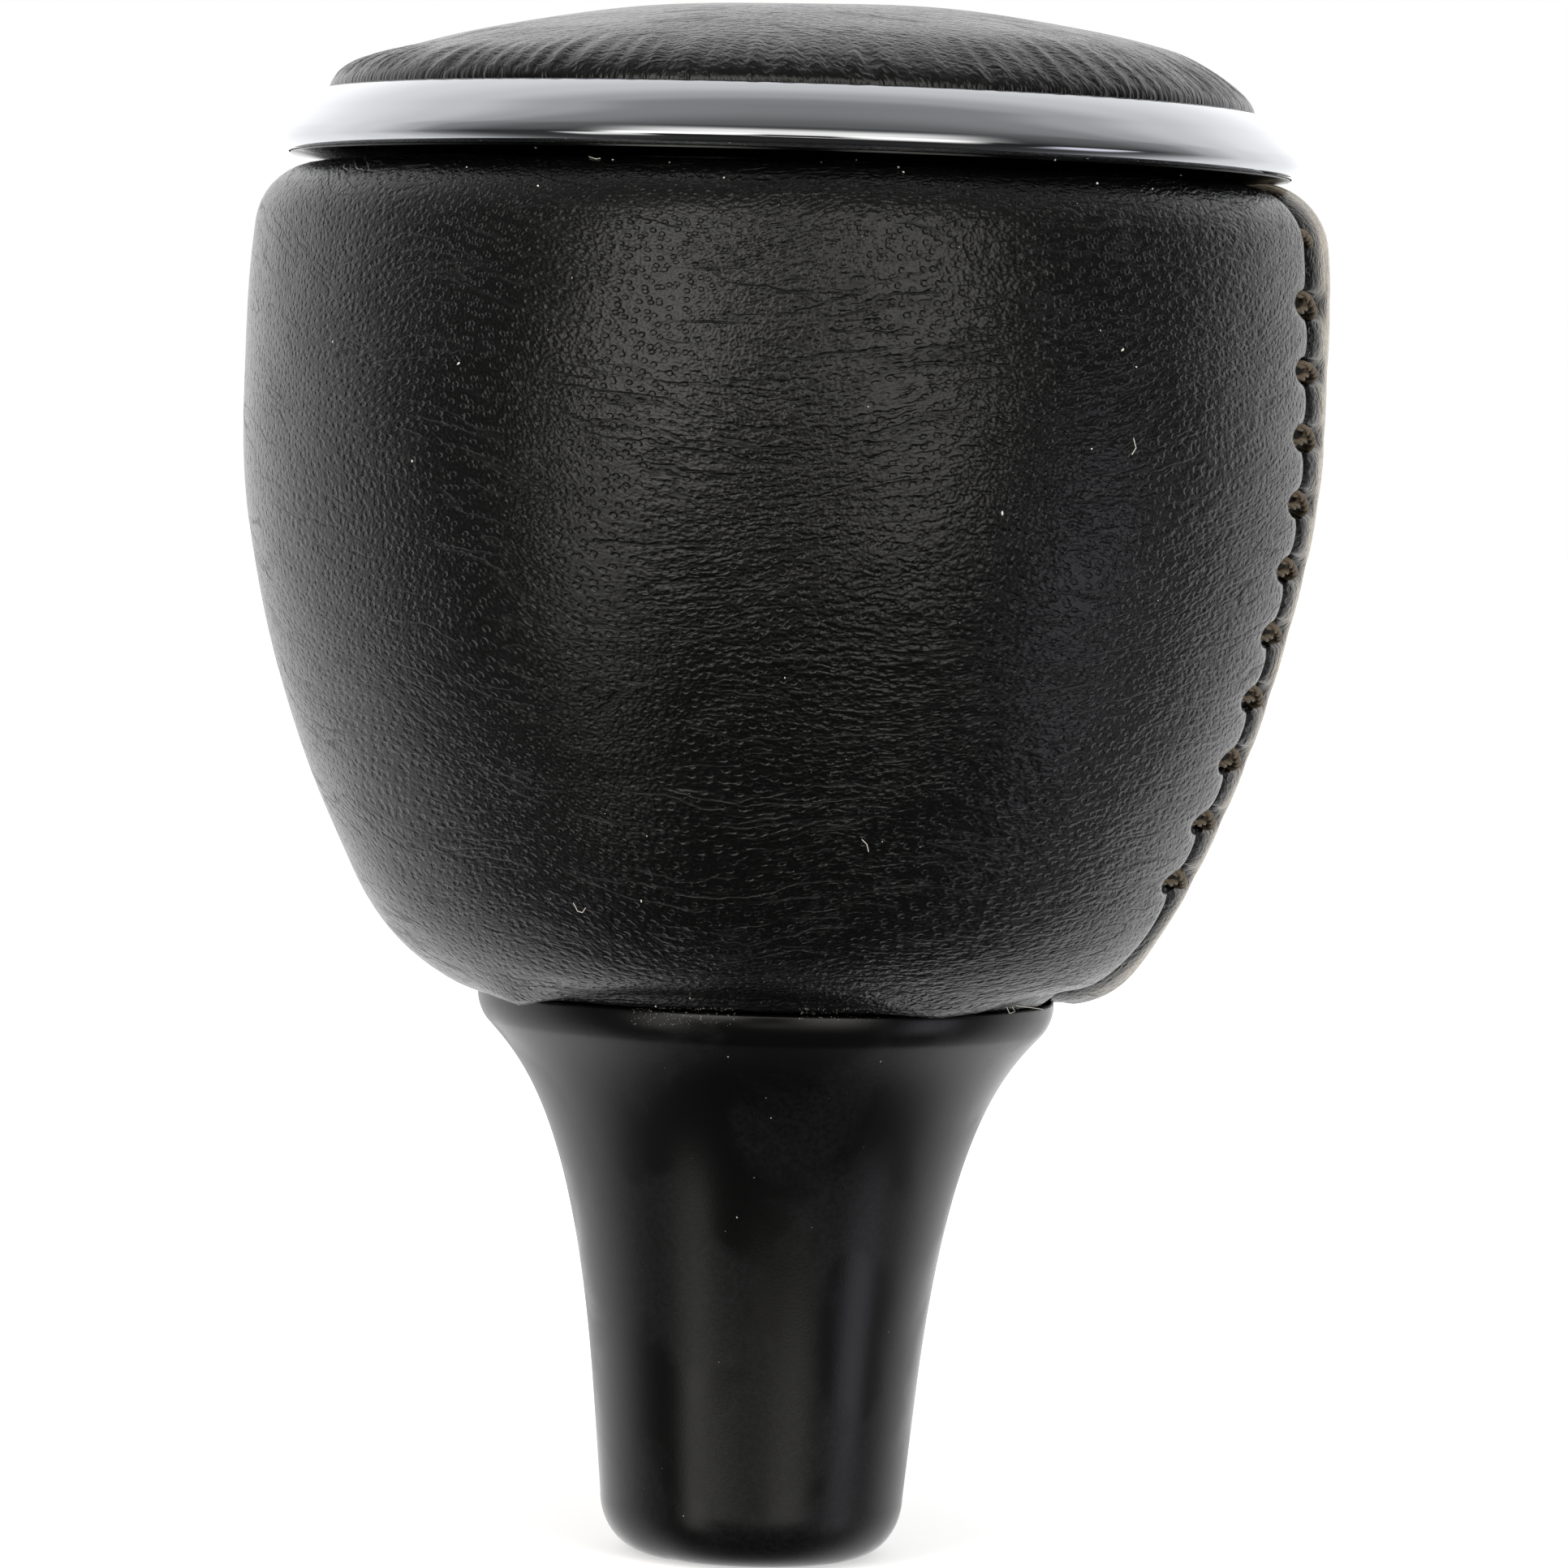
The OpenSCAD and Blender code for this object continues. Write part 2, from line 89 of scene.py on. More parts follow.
def turned(name, outline, steps=TURN_STEPS, smooth=35):
    """A ring of points with that outline of (radius, height) in millimetres, spun round the axis."""
    bpy.ops.object.select_all(action="DESELECT")
    bpy.ops.mesh.primitive_circle_add(vertices=len(outline), radius=MM)
    piece = bpy.context.object
    piece.name = piece.data.name = name
    for vertex, (radius, height) in zip(piece.data.vertices, outline):
        vertex.co = (radius * MM, 0, height * MM)
    bpy.ops.object.mode_set(mode="EDIT")
    bpy.ops.mesh.select_all(action="SELECT")
    bpy.ops.mesh.spin(steps=steps, angle=2 * math.pi, center=(0, 0, 0), axis=(0, 0, 1))
    bpy.ops.mesh.select_all(action="SELECT")
    bpy.ops.mesh.remove_doubles(threshold=0.002 * MM)
    bpy.ops.mesh.dissolve_degenerate(threshold=0.001 * MM)
    bpy.ops.mesh.normals_make_consistent(inside=False)
    bpy.ops.object.mode_set(mode="OBJECT")
    bpy.ops.object.shade_smooth_by_angle(angle=math.radians(smooth))
    return piece


def srgb(code):
    """A colour written as an sRGB hex value, as the linear colour that a socket takes."""
    parts = [int(code[i:i + 2], 16) / 255 for i in (1, 3, 5)]
    linear = [c / 12.92 if c <= 0.04045 else ((c + 0.055) / 1.055) ** 2.4 for c in parts]
    return (*linear, 1.0)


def add_node(material, kind, settings=None, links=None):
    """Adds a node to the material: settings name its properties or its sockets, links its inputs."""
    node = material.node_tree.nodes.new(kind)
    for key, value in (settings or {}).items():
        if isinstance(key, str) and hasattr(node, key):
            setattr(node, key, value)
        else:
            node.inputs[key].default_value = value
    for key, source in (links or {}).items():
        material.node_tree.links.new(source, node.inputs[key])
    return node


def new_material(name):
    """A material without any node."""
    material = bpy.data.materials.new(name)
    material.use_nodes = True
    material.node_tree.nodes.clear()
    return material


def dress(piece, material):
    """Gives the piece that one material."""
    piece.data.materials.clear()
    piece.data.materials.append(material)


def satin_moulding(name, dark, light, roughness, grain, depth):
    """Moulded plastic with an eroded skin, wiped dark in some places and filmed with dust in others.
    The skin's grain and depth are in millimetres."""
    material = new_material(name)
    place = add_node(material, "ShaderNodeTexCoord").outputs["Object"]
    skin = add_node(material, "ShaderNodeTexNoise", {"Scale": 1 / (grain * MM), "Detail": 3.0},
                    {"Vector": place})
    swirl = add_node(material, "ShaderNodeTexNoise",
                     {"Scale": 1 / (FILM_PATCH * MM), "Detail": 4.0, "Roughness": 0.55, "Distortion": 0.5},
                     {"Vector": place})
    film = add_node(material, "ShaderNodeMapRange",
                    {"interpolation_type": "SMOOTHSTEP", "From Min": 0.42, "From Max": 0.56},
                    {"Value": swirl.outputs["Fac"]})
    lint = add_node(material, "ShaderNodeTexNoise", {"Scale": 1 / (FILM_LINT * MM), "Detail": 4.0},
                    {"Vector": place})
    lint_share = add_node(material, "ShaderNodeMapRange",
                          {"From Min": 0.35, "From Max": 0.75}, {"Value": lint.outputs["Fac"]})
    cover = add_node(material, "ShaderNodeMath", {"operation": "MULTIPLY"},
                     {0: film.outputs[0], 1: lint_share.outputs[0]})
    base = add_node(material, "ShaderNodeMix", {"data_type": "RGBA", 6: srgb(dark), 7: srgb(light)},
                    {0: cover.outputs[0]})
    polish = add_node(material, "ShaderNodeMapRange",
                      {"To Min": roughness - 0.03, "To Max": roughness + 0.06},
                      {"Value": film.outputs[0]})
    bump = add_node(material, "ShaderNodeBump", {"Strength": 1.0, "Distance": depth * MM},
                    {"Height": skin.outputs["Fac"]})
    plastic = add_node(material, "ShaderNodeBsdfPrincipled", {"IOR": 1.5},
                       {"Base Color": base.outputs[2], "Roughness": polish.outputs[0],
                        "Normal": bump.outputs["Normal"]})
    add_node(material, "ShaderNodeOutputMaterial", None, {"Surface": plastic.outputs["BSDF"]})
    return material


flare_r = FOOT_R + FOOT_ROUND + SHANK_TAPER * (FLARE_START - FOOT_RISE)
lip = arc((COLLAR_R - COLLAR_LIP, NECK_H - COLLAR_ROUND), COLLAR_LIP, -COLLAR_TURN, 0, 12)
flare_h = lip[0][1] - FLARE_START
neck_line = [(SOCKET_R + SOCKET_CHAMFER, 0)]
neck_line += [(FOOT_R + FOOT_ROUND * r, FOOT_RISE * z) for r, z in arc((0, 1), 1, -90, 0, 18)]
neck_line += bend((flare_r, FLARE_START),
                  (flare_r + FLARE_HOLD * flare_h * SHANK_TAPER, FLARE_START + FLARE_HOLD * flare_h),
                  (lip[0][0] - COLLAR_HOLD * flare_h * COLLAR_SLOPE, lip[0][1] - COLLAR_HOLD * flare_h),
                  lip[0], 48)
neck_line += lip[1:-1]
neck_line += arc((COLLAR_R - COLLAR_ROUND, NECK_H - COLLAR_ROUND), COLLAR_ROUND, 0, 90, 5)
neck_line += [(SPIGOT_R, NECK_H), (SPIGOT_R, SPIGOT_TOP), (0, SPIGOT_TOP), (0, RELIEF_TOP),
              (SOCKET_R, RELIEF_TOP), (SOCKET_R, INSERT_TOP), (INSERT_R, INSERT_TOP),
              (INSERT_R, SOCKET_H), (SOCKET_R, SOCKET_H), (SOCKET_R, SOCKET_CHAMFER)]
neck = turned("shift_neck", neck_line)
dress(neck, satin_moulding("satin_black_nylon", "#060606", "#131315",
                           roughness=0.28, grain=0.14, depth=0.006))
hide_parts("neck")
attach(neck, "root")

# Threaded insert: turned brass with two knurled bands, moulded into the neck. It is seen from below,
# up the socket, bright where the tool cut it and brown where the air has reached it.
TURNING_PITCH = 0.35
TURNING_DEEP = 0.012
TARNISH_PATCH = 2.5
brass = new_material("turned_brass")
brass_place = add_node(brass, "ShaderNodeTexCoord").outputs["Object"]
brass_turning = add_node(brass, "ShaderNodeTexWave",
                         {"bands_direction": "Z", "Scale": 0.31 / (TURNING_PITCH * MM), "Distortion": 0.6},
                         {"Vector": brass_place})
brass_tarnish = add_node(brass, "ShaderNodeTexNoise",
                         {"Scale": 1 / (TARNISH_PATCH * MM), "Detail": 4.0}, {"Vector": brass_place})
brass_colour = add_node(brass, "ShaderNodeMix",
                        {"data_type": "RGBA", 6: srgb("#c9a557"), 7: srgb("#8a6a34")},
                        {0: brass_tarnish.outputs["Fac"]})
brass_bump = add_node(brass, "ShaderNodeBump", {"Strength": 1.0, "Distance": TURNING_DEEP * MM},
                      {"Height": brass_turning.outputs["Fac"]})
brass_skin = add_node(brass, "ShaderNodeBsdfPrincipled", {"Metallic": 1.0, "Roughness": 0.32},
                      {"Base Color": brass_colour.outputs[2], "Normal": brass_bump.outputs["Normal"]})
add_node(brass, "ShaderNodeOutputMaterial", None, {"Surface": brass_skin.outputs["BSDF"]})
dress(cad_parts["threaded_insert"], brass)

# Core, plate and screws: the core is a ribbed moulding of matt grey-black nylon that the foam is glued
# to, and the pad's plate one of duller grey polypropylene. The screws are zinc-plated steel, with the
# bluish cloudy skin that plating leaves.
ZINC_CLOUD = 1.2
dress(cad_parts["head_core"], satin_moulding("matt_grey_nylon", "#1a1a1c", "#2c2c2e",
                                                  roughness=0.5, grain=0.2, depth=0.01))
dress(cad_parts["pad_plate"], satin_moulding("grey_polypropylene", "#26262a", "#303034",
                                                  roughness=0.45, grain=0.3, depth=0.01))
zinc = new_material("zinc_plated_steel")
zinc_place = add_node(zinc, "ShaderNodeTexCoord").outputs["Object"]
zinc_cloud = add_node(zinc, "ShaderNodeTexNoise", {"Scale": 1 / (ZINC_CLOUD * MM), "Detail": 5.0},
                      {"Vector": zinc_place})
zinc_colour = add_node(zinc, "ShaderNodeMix",
                       {"data_type": "RGBA", 6: srgb("#b4b8be"), 7: srgb("#8f949c")},
                       {0: zinc_cloud.outputs["Fac"]})
zinc_polish = add_node(zinc, "ShaderNodeMapRange", {"To Min": 0.25, "To Max": 0.5},
                       {"Value": zinc_cloud.outputs["Fac"]})
zinc_skin = add_node(zinc, "ShaderNodeBsdfPrincipled", {"Metallic": 1.0},
                     {"Base Color": zinc_colour.outputs[2], "Roughness": zinc_polish.outputs[0]})
add_node(zinc, "ShaderNodeOutputMaterial", None, {"Surface": zinc_skin.outputs["BSDF"]})
for screws in ("neck_screws", "carrier_screws"):
    dress(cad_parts[screws], zinc)

# Foam under the leather and in the pad: dark open-cell polyurethane, cut and glued on, seen only at
# the bottom of the seam's gap and of its eyes.
FOAM_CELL = 0.3
FOAM_PIT = 0.08
foam = new_material("cut_polyurethane_foam")
foam_place = add_node(foam, "ShaderNodeTexCoord").outputs["Object"]
foam_cells = add_node(foam, "ShaderNodeTexVoronoi", {"Scale": 1 / (FOAM_CELL * MM)},
                      {"Vector": foam_place})
# Each cell's hollow is painted darker than its rim: painted shade in the foam's pits
foam_colour_and_pit_shade = add_node(foam, "ShaderNodeMix",
                       {"data_type": "RGBA", 6: srgb("#0e0d0d"), 7: srgb("#2b2926")},
                       {0: foam_cells.outputs["Distance"]})
foam_bump = add_node(foam, "ShaderNodeBump", {"Strength": 1.0, "Distance": FOAM_PIT * MM},
                     {"Height": foam_cells.outputs["Distance"]})
foam_skin = add_node(foam, "ShaderNodeBsdfPrincipled", {"Roughness": 0.95},
                     {"Base Color": foam_colour_and_pit_shade.outputs[2], "Normal": foam_bump.outputs["Normal"]})
add_node(foam, "ShaderNodeOutputMaterial", None, {"Surface": foam_skin.outputs["BSDF"]})
for cushion in ("foam_sleeve", "pad_foam"):
    dress(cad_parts[cushion], foam)

# Head cover: one panel of black nappa, cut flat, wound tight round the foam and laced edge to edge
# down the side that faces +X. Its hems turn in over the collar and under the carrier. Pulled leather
# keeps soft swells, and each stitch draws its edges down and open into an eye.
HEAD_BASE = 33.2
HEAD_TOP = 81.3
HEAD_R = 31.85
WIDEST_Z = 68.0
WIDEST_H = WIDEST_Z - HEAD_BASE
SIDE_IN = 10.7
SIDE_POWER = 1.9
UNDER_Z = 40.3
UNDER_RISE = 1.0
SHOULDER_IN = 0.5
SHOULDER_R = 4.0
HEM_LOW_R = 13.4
HEM_TOP_R = 24.2
LEATHER_T = 1.2
SEAM_GAP = 0.8
EYE_W = 4.2
EYE_H = 1.6
STITCHES = 11
FIRST_STITCH = 3.0
STITCH_PITCH = 3.85
ROLL_W = 2.6
ROLL_DEEP = 1.15
SEAM_REACH = 7.0
PANEL_COLUMNS = 190
PANEL_ROWS = 104
FACING = math.radians(-75.5)
# How far an eye spreads the edges above and below its thread, and each stitch's pulls on the leather
# as depth, height along the seam and width across it
EYE_SPREAD = 0.22
EYE_SPREAD_H = 1.1
STITCH_PULLS = ((0.30, 0.9, 1.3), (0.10, 0.7, 4.0))
# Swells as turns round the head and length along it. They are weaker near the hems
BROAD_SWELLS = ((3, 38), (5, 26), (4, 19), (7, 31), (2, 15))
BROAD_DEEP = 0.16
FINE_SWELLS = ((11, 12), (9, 17), (14, 9), (13, 21))
FINE_DEEP = 0.05
LEAST_SWELL = 0.25
PULLED_IN = 0.1
# The panel's rear edge stands proud at the top of the seam and ends in a lobe over the collar
PROUD = 0.5
PROUD_TURN = 0.24
PROUD_WIDE = 0.17
PROUD_FROM = 66.0
PROUD_TO = 79.0
LOBE_TURN = 0.25
LOBE_WIDE = 0.13
LOBE_PATH = 7.5
LOBE_LONG = 3.0
LOBE_OUT = 0.15
LOBE_DOWN = 0.75
# The hem waves over the collar: how far it drops at each turn from the front
HEM_R = 18.3
HEM_WIDE = 1.5
HEM_BELOW = 40
HEM_TURNS = (-180, -150, -120, -90, -75, -62, -51, -45, -38.7, -31, -21, -6, 9, 16.6, 24.6, 33, 42.6,
             51.4, 65.7, 76, 88, 110, 140, 180)
HEM_DROPS = (0.1, -0.3, 0.3, 0.0, 0.2, 0.35, 0.75, 0.35, -0.1, -0.23, -0.49, -0.66, -0.43, -0.1, 0.24,
             0.49, 0.22, -0.27, -0.6, -0.3, 0.2, -0.2, 0.3, 0.1)


def side(z):
    """Radius of the head's side at height z."""
    if z < WIDEST_Z:
        return HEAD_R - SIDE_IN * ((WIDEST_Z - z) / WIDEST_H) ** SIDE_POWER
    return HEAD_R - SHOULDER_IN * ((z - WIDEST_Z) / (HEAD_TOP - SHOULDER_R - WIDEST_Z)) ** 2


def side_slope(z):
    """How fast the side's radius grows with height."""
    return (side(z + 0.01) - side(z - 0.01)) / 0.02


under_q = (side(UNDER_Z) - side_slope(UNDER_Z) * (UNDER_Z - HEAD_BASE - UNDER_RISE),
           HEAD_BASE + UNDER_RISE)
lean = math.atan(-side_slope(HEAD_TOP - SHOULDER_R))
side_end = HEAD_TOP - SHOULDER_R + SHOULDER_R * math.sin(lean)
shoulder_c = (side(side_end) - SHOULDER_R * math.cos(lean), HEAD_TOP - SHOULDER_R)
head_line = [(HEM_LOW_R, HEAD_BASE)]
head_line += bend((COLLAR_R, HEAD_BASE),
                  ((COLLAR_R + 2 * under_q[0]) / 3, (HEAD_BASE + 2 * under_q[1]) / 3),
                  ((side(UNDER_Z) + 2 * under_q[0]) / 3, (UNDER_Z + 2 * under_q[1]) / 3),
                  (side(UNDER_Z), UNDER_Z), 60)
head_line += [(side(z), z) for z in np.linspace(UNDER_Z, side_end, 120)[1:]]
head_line += arc(shoulder_c, SHOULDER_R, math.degrees(lean), 90, 30)[1:]
head_line += [(HEM_TOP_R, HEAD_TOP)]
head_points = np.array(head_line)
head_path = np.concatenate([[0], np.cumsum(np.linalg.norm(np.diff(head_points, axis=0), axis=1))])
path_length = head_path[-1]
stitch_z = [HEAD_TOP - FIRST_STITCH]
while len(stitch_z) < STITCHES:
    stitch_z.append(stitch_z[-1] - STITCH_PITCH * math.cos(math.atan(side_slope(stitch_z[-1]))))
stitch_path = np.interp(stitch_z, head_points[1:-1, 1], head_path[1:-1])


def head_at(path):
    """Radius, height and outward direction on the head's outline at a distance along it."""
    step = 0.15
    radius = np.interp(path, head_path, head_points[:, 0])
    height = np.interp(path, head_path, head_points[:, 1])
    low, high = np.clip(path - step, 0, path_length), np.clip(path + step, 0, path_length)
    along_r, along_z = [np.interp(high, head_path, head_points[:, k])
                        - np.interp(low, head_path, head_points[:, k]) for k in (0, 1)]
    size = np.hypot(along_r, along_z)
    return radius, height, along_z / size, -along_r / size


def ease(value, low, high):
    """0 below low, 1 above high and a smooth step between them."""
    t = np.clip((value - low) / (high - low), 0, 1)
    return t * t * (3 - 2 * t)


def swells(angle, path, waves, seed):
    """Soft waves over the head: each has its own turns round the knob, length along it and phase."""
    draw = random.Random(seed)
    total = np.zeros_like(angle)
    for turns, length in waves:
        total += np.sin(turns * angle + draw.uniform(0, 6.28)) * np.sin(
            6.28 * path / length + draw.uniform(0, 6.28))
    return total / len(waves)


def eye_opening(path):
    """How far each edge of the panel stands from the seam's middle at a distance along it."""
    opening = np.full_like(path, SEAM_GAP / 2)
    for middle in stitch_path[1:]:
        share = np.clip(1 - ((path - middle) / (EYE_H / 2)) ** 2, 0, 1)
        opening = np.maximum(opening, SEAM_GAP / 2 + (EYE_W / 2 - SEAM_GAP / 2) * share ** 0.6)
        opening += EYE_SPREAD * np.exp(-((path - middle) / EYE_SPREAD_H) ** 2)
    fade = ease(path, stitch_path[-1] - 3.5, stitch_path[-1] - 1.5) * (1 - 0.6 * ease(
        path, stitch_path[1] + 2, stitch_path[0]))
    return opening * fade + SEAM_GAP / 4 * (1 - fade)


def select_faces(piece, wanted):
    """In edit mode, leaves only those faces selected for whose centre wanted(centre) is true."""
    edited = bmesh.from_edit_mesh(piece.data)
    for face in edited.faces:
        face.select_set(bool(wanted(face.calc_center_median())))
    edited.select_flush(True)
    bmesh.update_edit_mesh(piece.data)


bpy.ops.object.select_all(action="DESELECT")
bpy.ops.mesh.primitive_grid_add(x_subdivisions=PANEL_COLUMNS, y_subdivisions=PANEL_ROWS, size=1)
cover = bpy.context.object
cover.name = cover.data.name = "head_cover"
bpy.ops.object.mode_set(mode="EDIT")
# The columns beside each cut edge are halved, and the outermost of them once more
for columns in (14, 8):
    select_faces(cover, lambda centre: abs(centre.x) > 0.5 - columns / PANEL_COLUMNS)
    bpy.ops.mesh.subdivide(number_cuts=1)
bpy.ops.object.mode_set(mode="OBJECT")
thickness = cover.modifiers.new("thickness", "SOLIDIFY")
thickness.thickness = LEATHER_T * MM
thickness.offset = -1
bpy.ops.object.modifier_apply(modifier=thickness.name)

flat = np.empty(len(cover.data.vertices) * 3)
cover.data.vertices.foreach_get("co", flat)
flat = flat.reshape(-1, 3)
cut_at = np.where(flat[:, 0] < 0, 1.0, -1.0)
from_cut = 0.5 - np.abs(flat[:, 0])
path = (flat[:, 1] + 0.5) * path_length
depth = np.clip(-flat[:, 2] / MM, 0, LEATHER_T)
radius, height, out_r, out_z = head_at(path)
# Columns stand close together at the cut ends and about a millimetre apart round the rest
half_round = math.pi * radius
spread = from_cut * 2
reach = half_round * (0.35 * spread ** 2 + 0.65 * spread) * ease(spread, -0.12, 0.12)
opening = eye_opening(path)
arc_from_seam = reach + opening * (1 - ease(reach, 0, SEAM_REACH))
angle = cut_at * arc_from_seam / radius
edge = arc_from_seam - opening

puff = np.zeros_like(path)
from_eye = arc_from_seam - EYE_W / 2
for middle in stitch_path[1:]:
    for deep, tall, wide in STITCH_PULLS:
        puff -= deep * np.exp(-((path - middle) / tall) ** 2 - (from_eye / wide) ** 2)
below_shoulder = ease(path_length - path, 8, 16)
above_hem = ease(path, 6, 16)
swell = BROAD_DEEP * swells(angle, path, BROAD_SWELLS, 4)
swell += FINE_DEEP * swells(angle, path, FINE_SWELLS, 9)
swell_share = LEAST_SWELL + (1 - LEAST_SWELL) * below_shoulder * above_hem
proud = PROUD * np.exp(-((angle - PROUD_TURN) / PROUD_WIDE) ** 2) * ease(height, PROUD_FROM, PROUD_TO)
lift = proud + swell * swell_share + puff * above_hem - PULLED_IN
rolled = ROLL_DEEP * (1 - np.sqrt(np.clip(1 - np.clip(1 - edge / ROLL_W, 0, 1) ** 2, 0, 1)))
lift -= rolled * (1 - depth / LEATHER_T)
hem_turn = np.degrees(angle - FACING + math.pi) % 360 - 180
hem_wave = np.interp(hem_turn, HEM_TURNS, HEM_DROPS)
at_hem = np.exp(-((radius - HEM_R) / HEM_WIDE) ** 2) * (height < HEM_BELOW)
over_collar = ease(radius, COLLAR_R - 0.1, COLLAR_R + 1.2)
drop = hem_wave * at_hem * over_collar
lobe = np.exp(-((angle - LOBE_TURN) / LOBE_WIDE) ** 2) * np.exp(-((path - LOBE_PATH) / LOBE_LONG) ** 2)
place_r = radius + out_r * (lift - depth) + LOBE_OUT * lobe
place_z = height + out_z * (lift - depth) - drop - LOBE_DOWN * lobe
wound = np.column_stack([place_r * np.cos(angle), place_r * np.sin(angle), place_z]) * MM
cover.data.vertices.foreach_set("co", wound.ravel())
cover.data.update()

# The grain lies straight on the flat hide, so its map is the head unrolled as a cone from edge to edge
# of the panel, with the front upright, in units of so many millimetres
CONE_TIP = 50.0
UNROLL = 0.30
HIDE_UNIT = 100
from_front = angle % (2 * math.pi) - (FACING + 2 * math.pi)
from_tip = path + CONE_TIP
unrolled = np.column_stack([from_tip * np.sin(UNROLL * from_front),
                            from_tip * np.cos(UNROLL * from_front)])
# The edge behind the seam gets a tan sheen and a faint tan tint, partly a rubbed nap and partly painted
# reflection of the warm glancing light
# on that edge: where this glow sets in and fades with the distance from the edge, and where it sets in
# upwards
NAP_GLOW_FROM = (0.4, 2.2)
NAP_GLOW_FADE = (5.0, 12.0)
NAP_GLOW_RISE = (4, 9)
nap_and_glow = (angle > 0) * ease(edge, *NAP_GLOW_FROM) * (1 - ease(edge, *NAP_GLOW_FADE)) * ease(path, *NAP_GLOW_RISE)
cover.data.attributes.new("nap_and_glow", "FLOAT", "POINT").data.foreach_set("value", nap_and_glow)
grain_map = cover.data.uv_layers.active
grain_map.name = "hide"
corner = np.empty(len(cover.data.loops), dtype=np.int32)
cover.data.loops.foreach_get("vertex_index", corner)
grain_map.data.foreach_set("uv", (unrolled[corner] / HIDE_UNIT).ravel())
bpy.ops.object.select_all(action="DESELECT")
cover.select_set(True)
bpy.context.view_layer.objects.active = cover
bpy.ops.object.mode_set(mode="EDIT")
bpy.ops.mesh.select_all(action="SELECT")
bpy.ops.mesh.normals_make_consistent(inside=False)
bpy.ops.object.mode_set(mode="OBJECT")
bpy.ops.object.shade_smooth_by_angle(angle=math.radians(60))

# Widths and depths of the grain's parts
PORE = 0.52
PORE_DEEP = 0.04
RIPPLE = 0.54
RIPPLE_DEEP = 0.034
CREASE = 1.7
CREASE_DEEP = 0.04
GRAIN = 0.17
GRAIN_DEEP = 0.028
WRINKLE = 1.8
WRINKLE_DEEP = 0.07


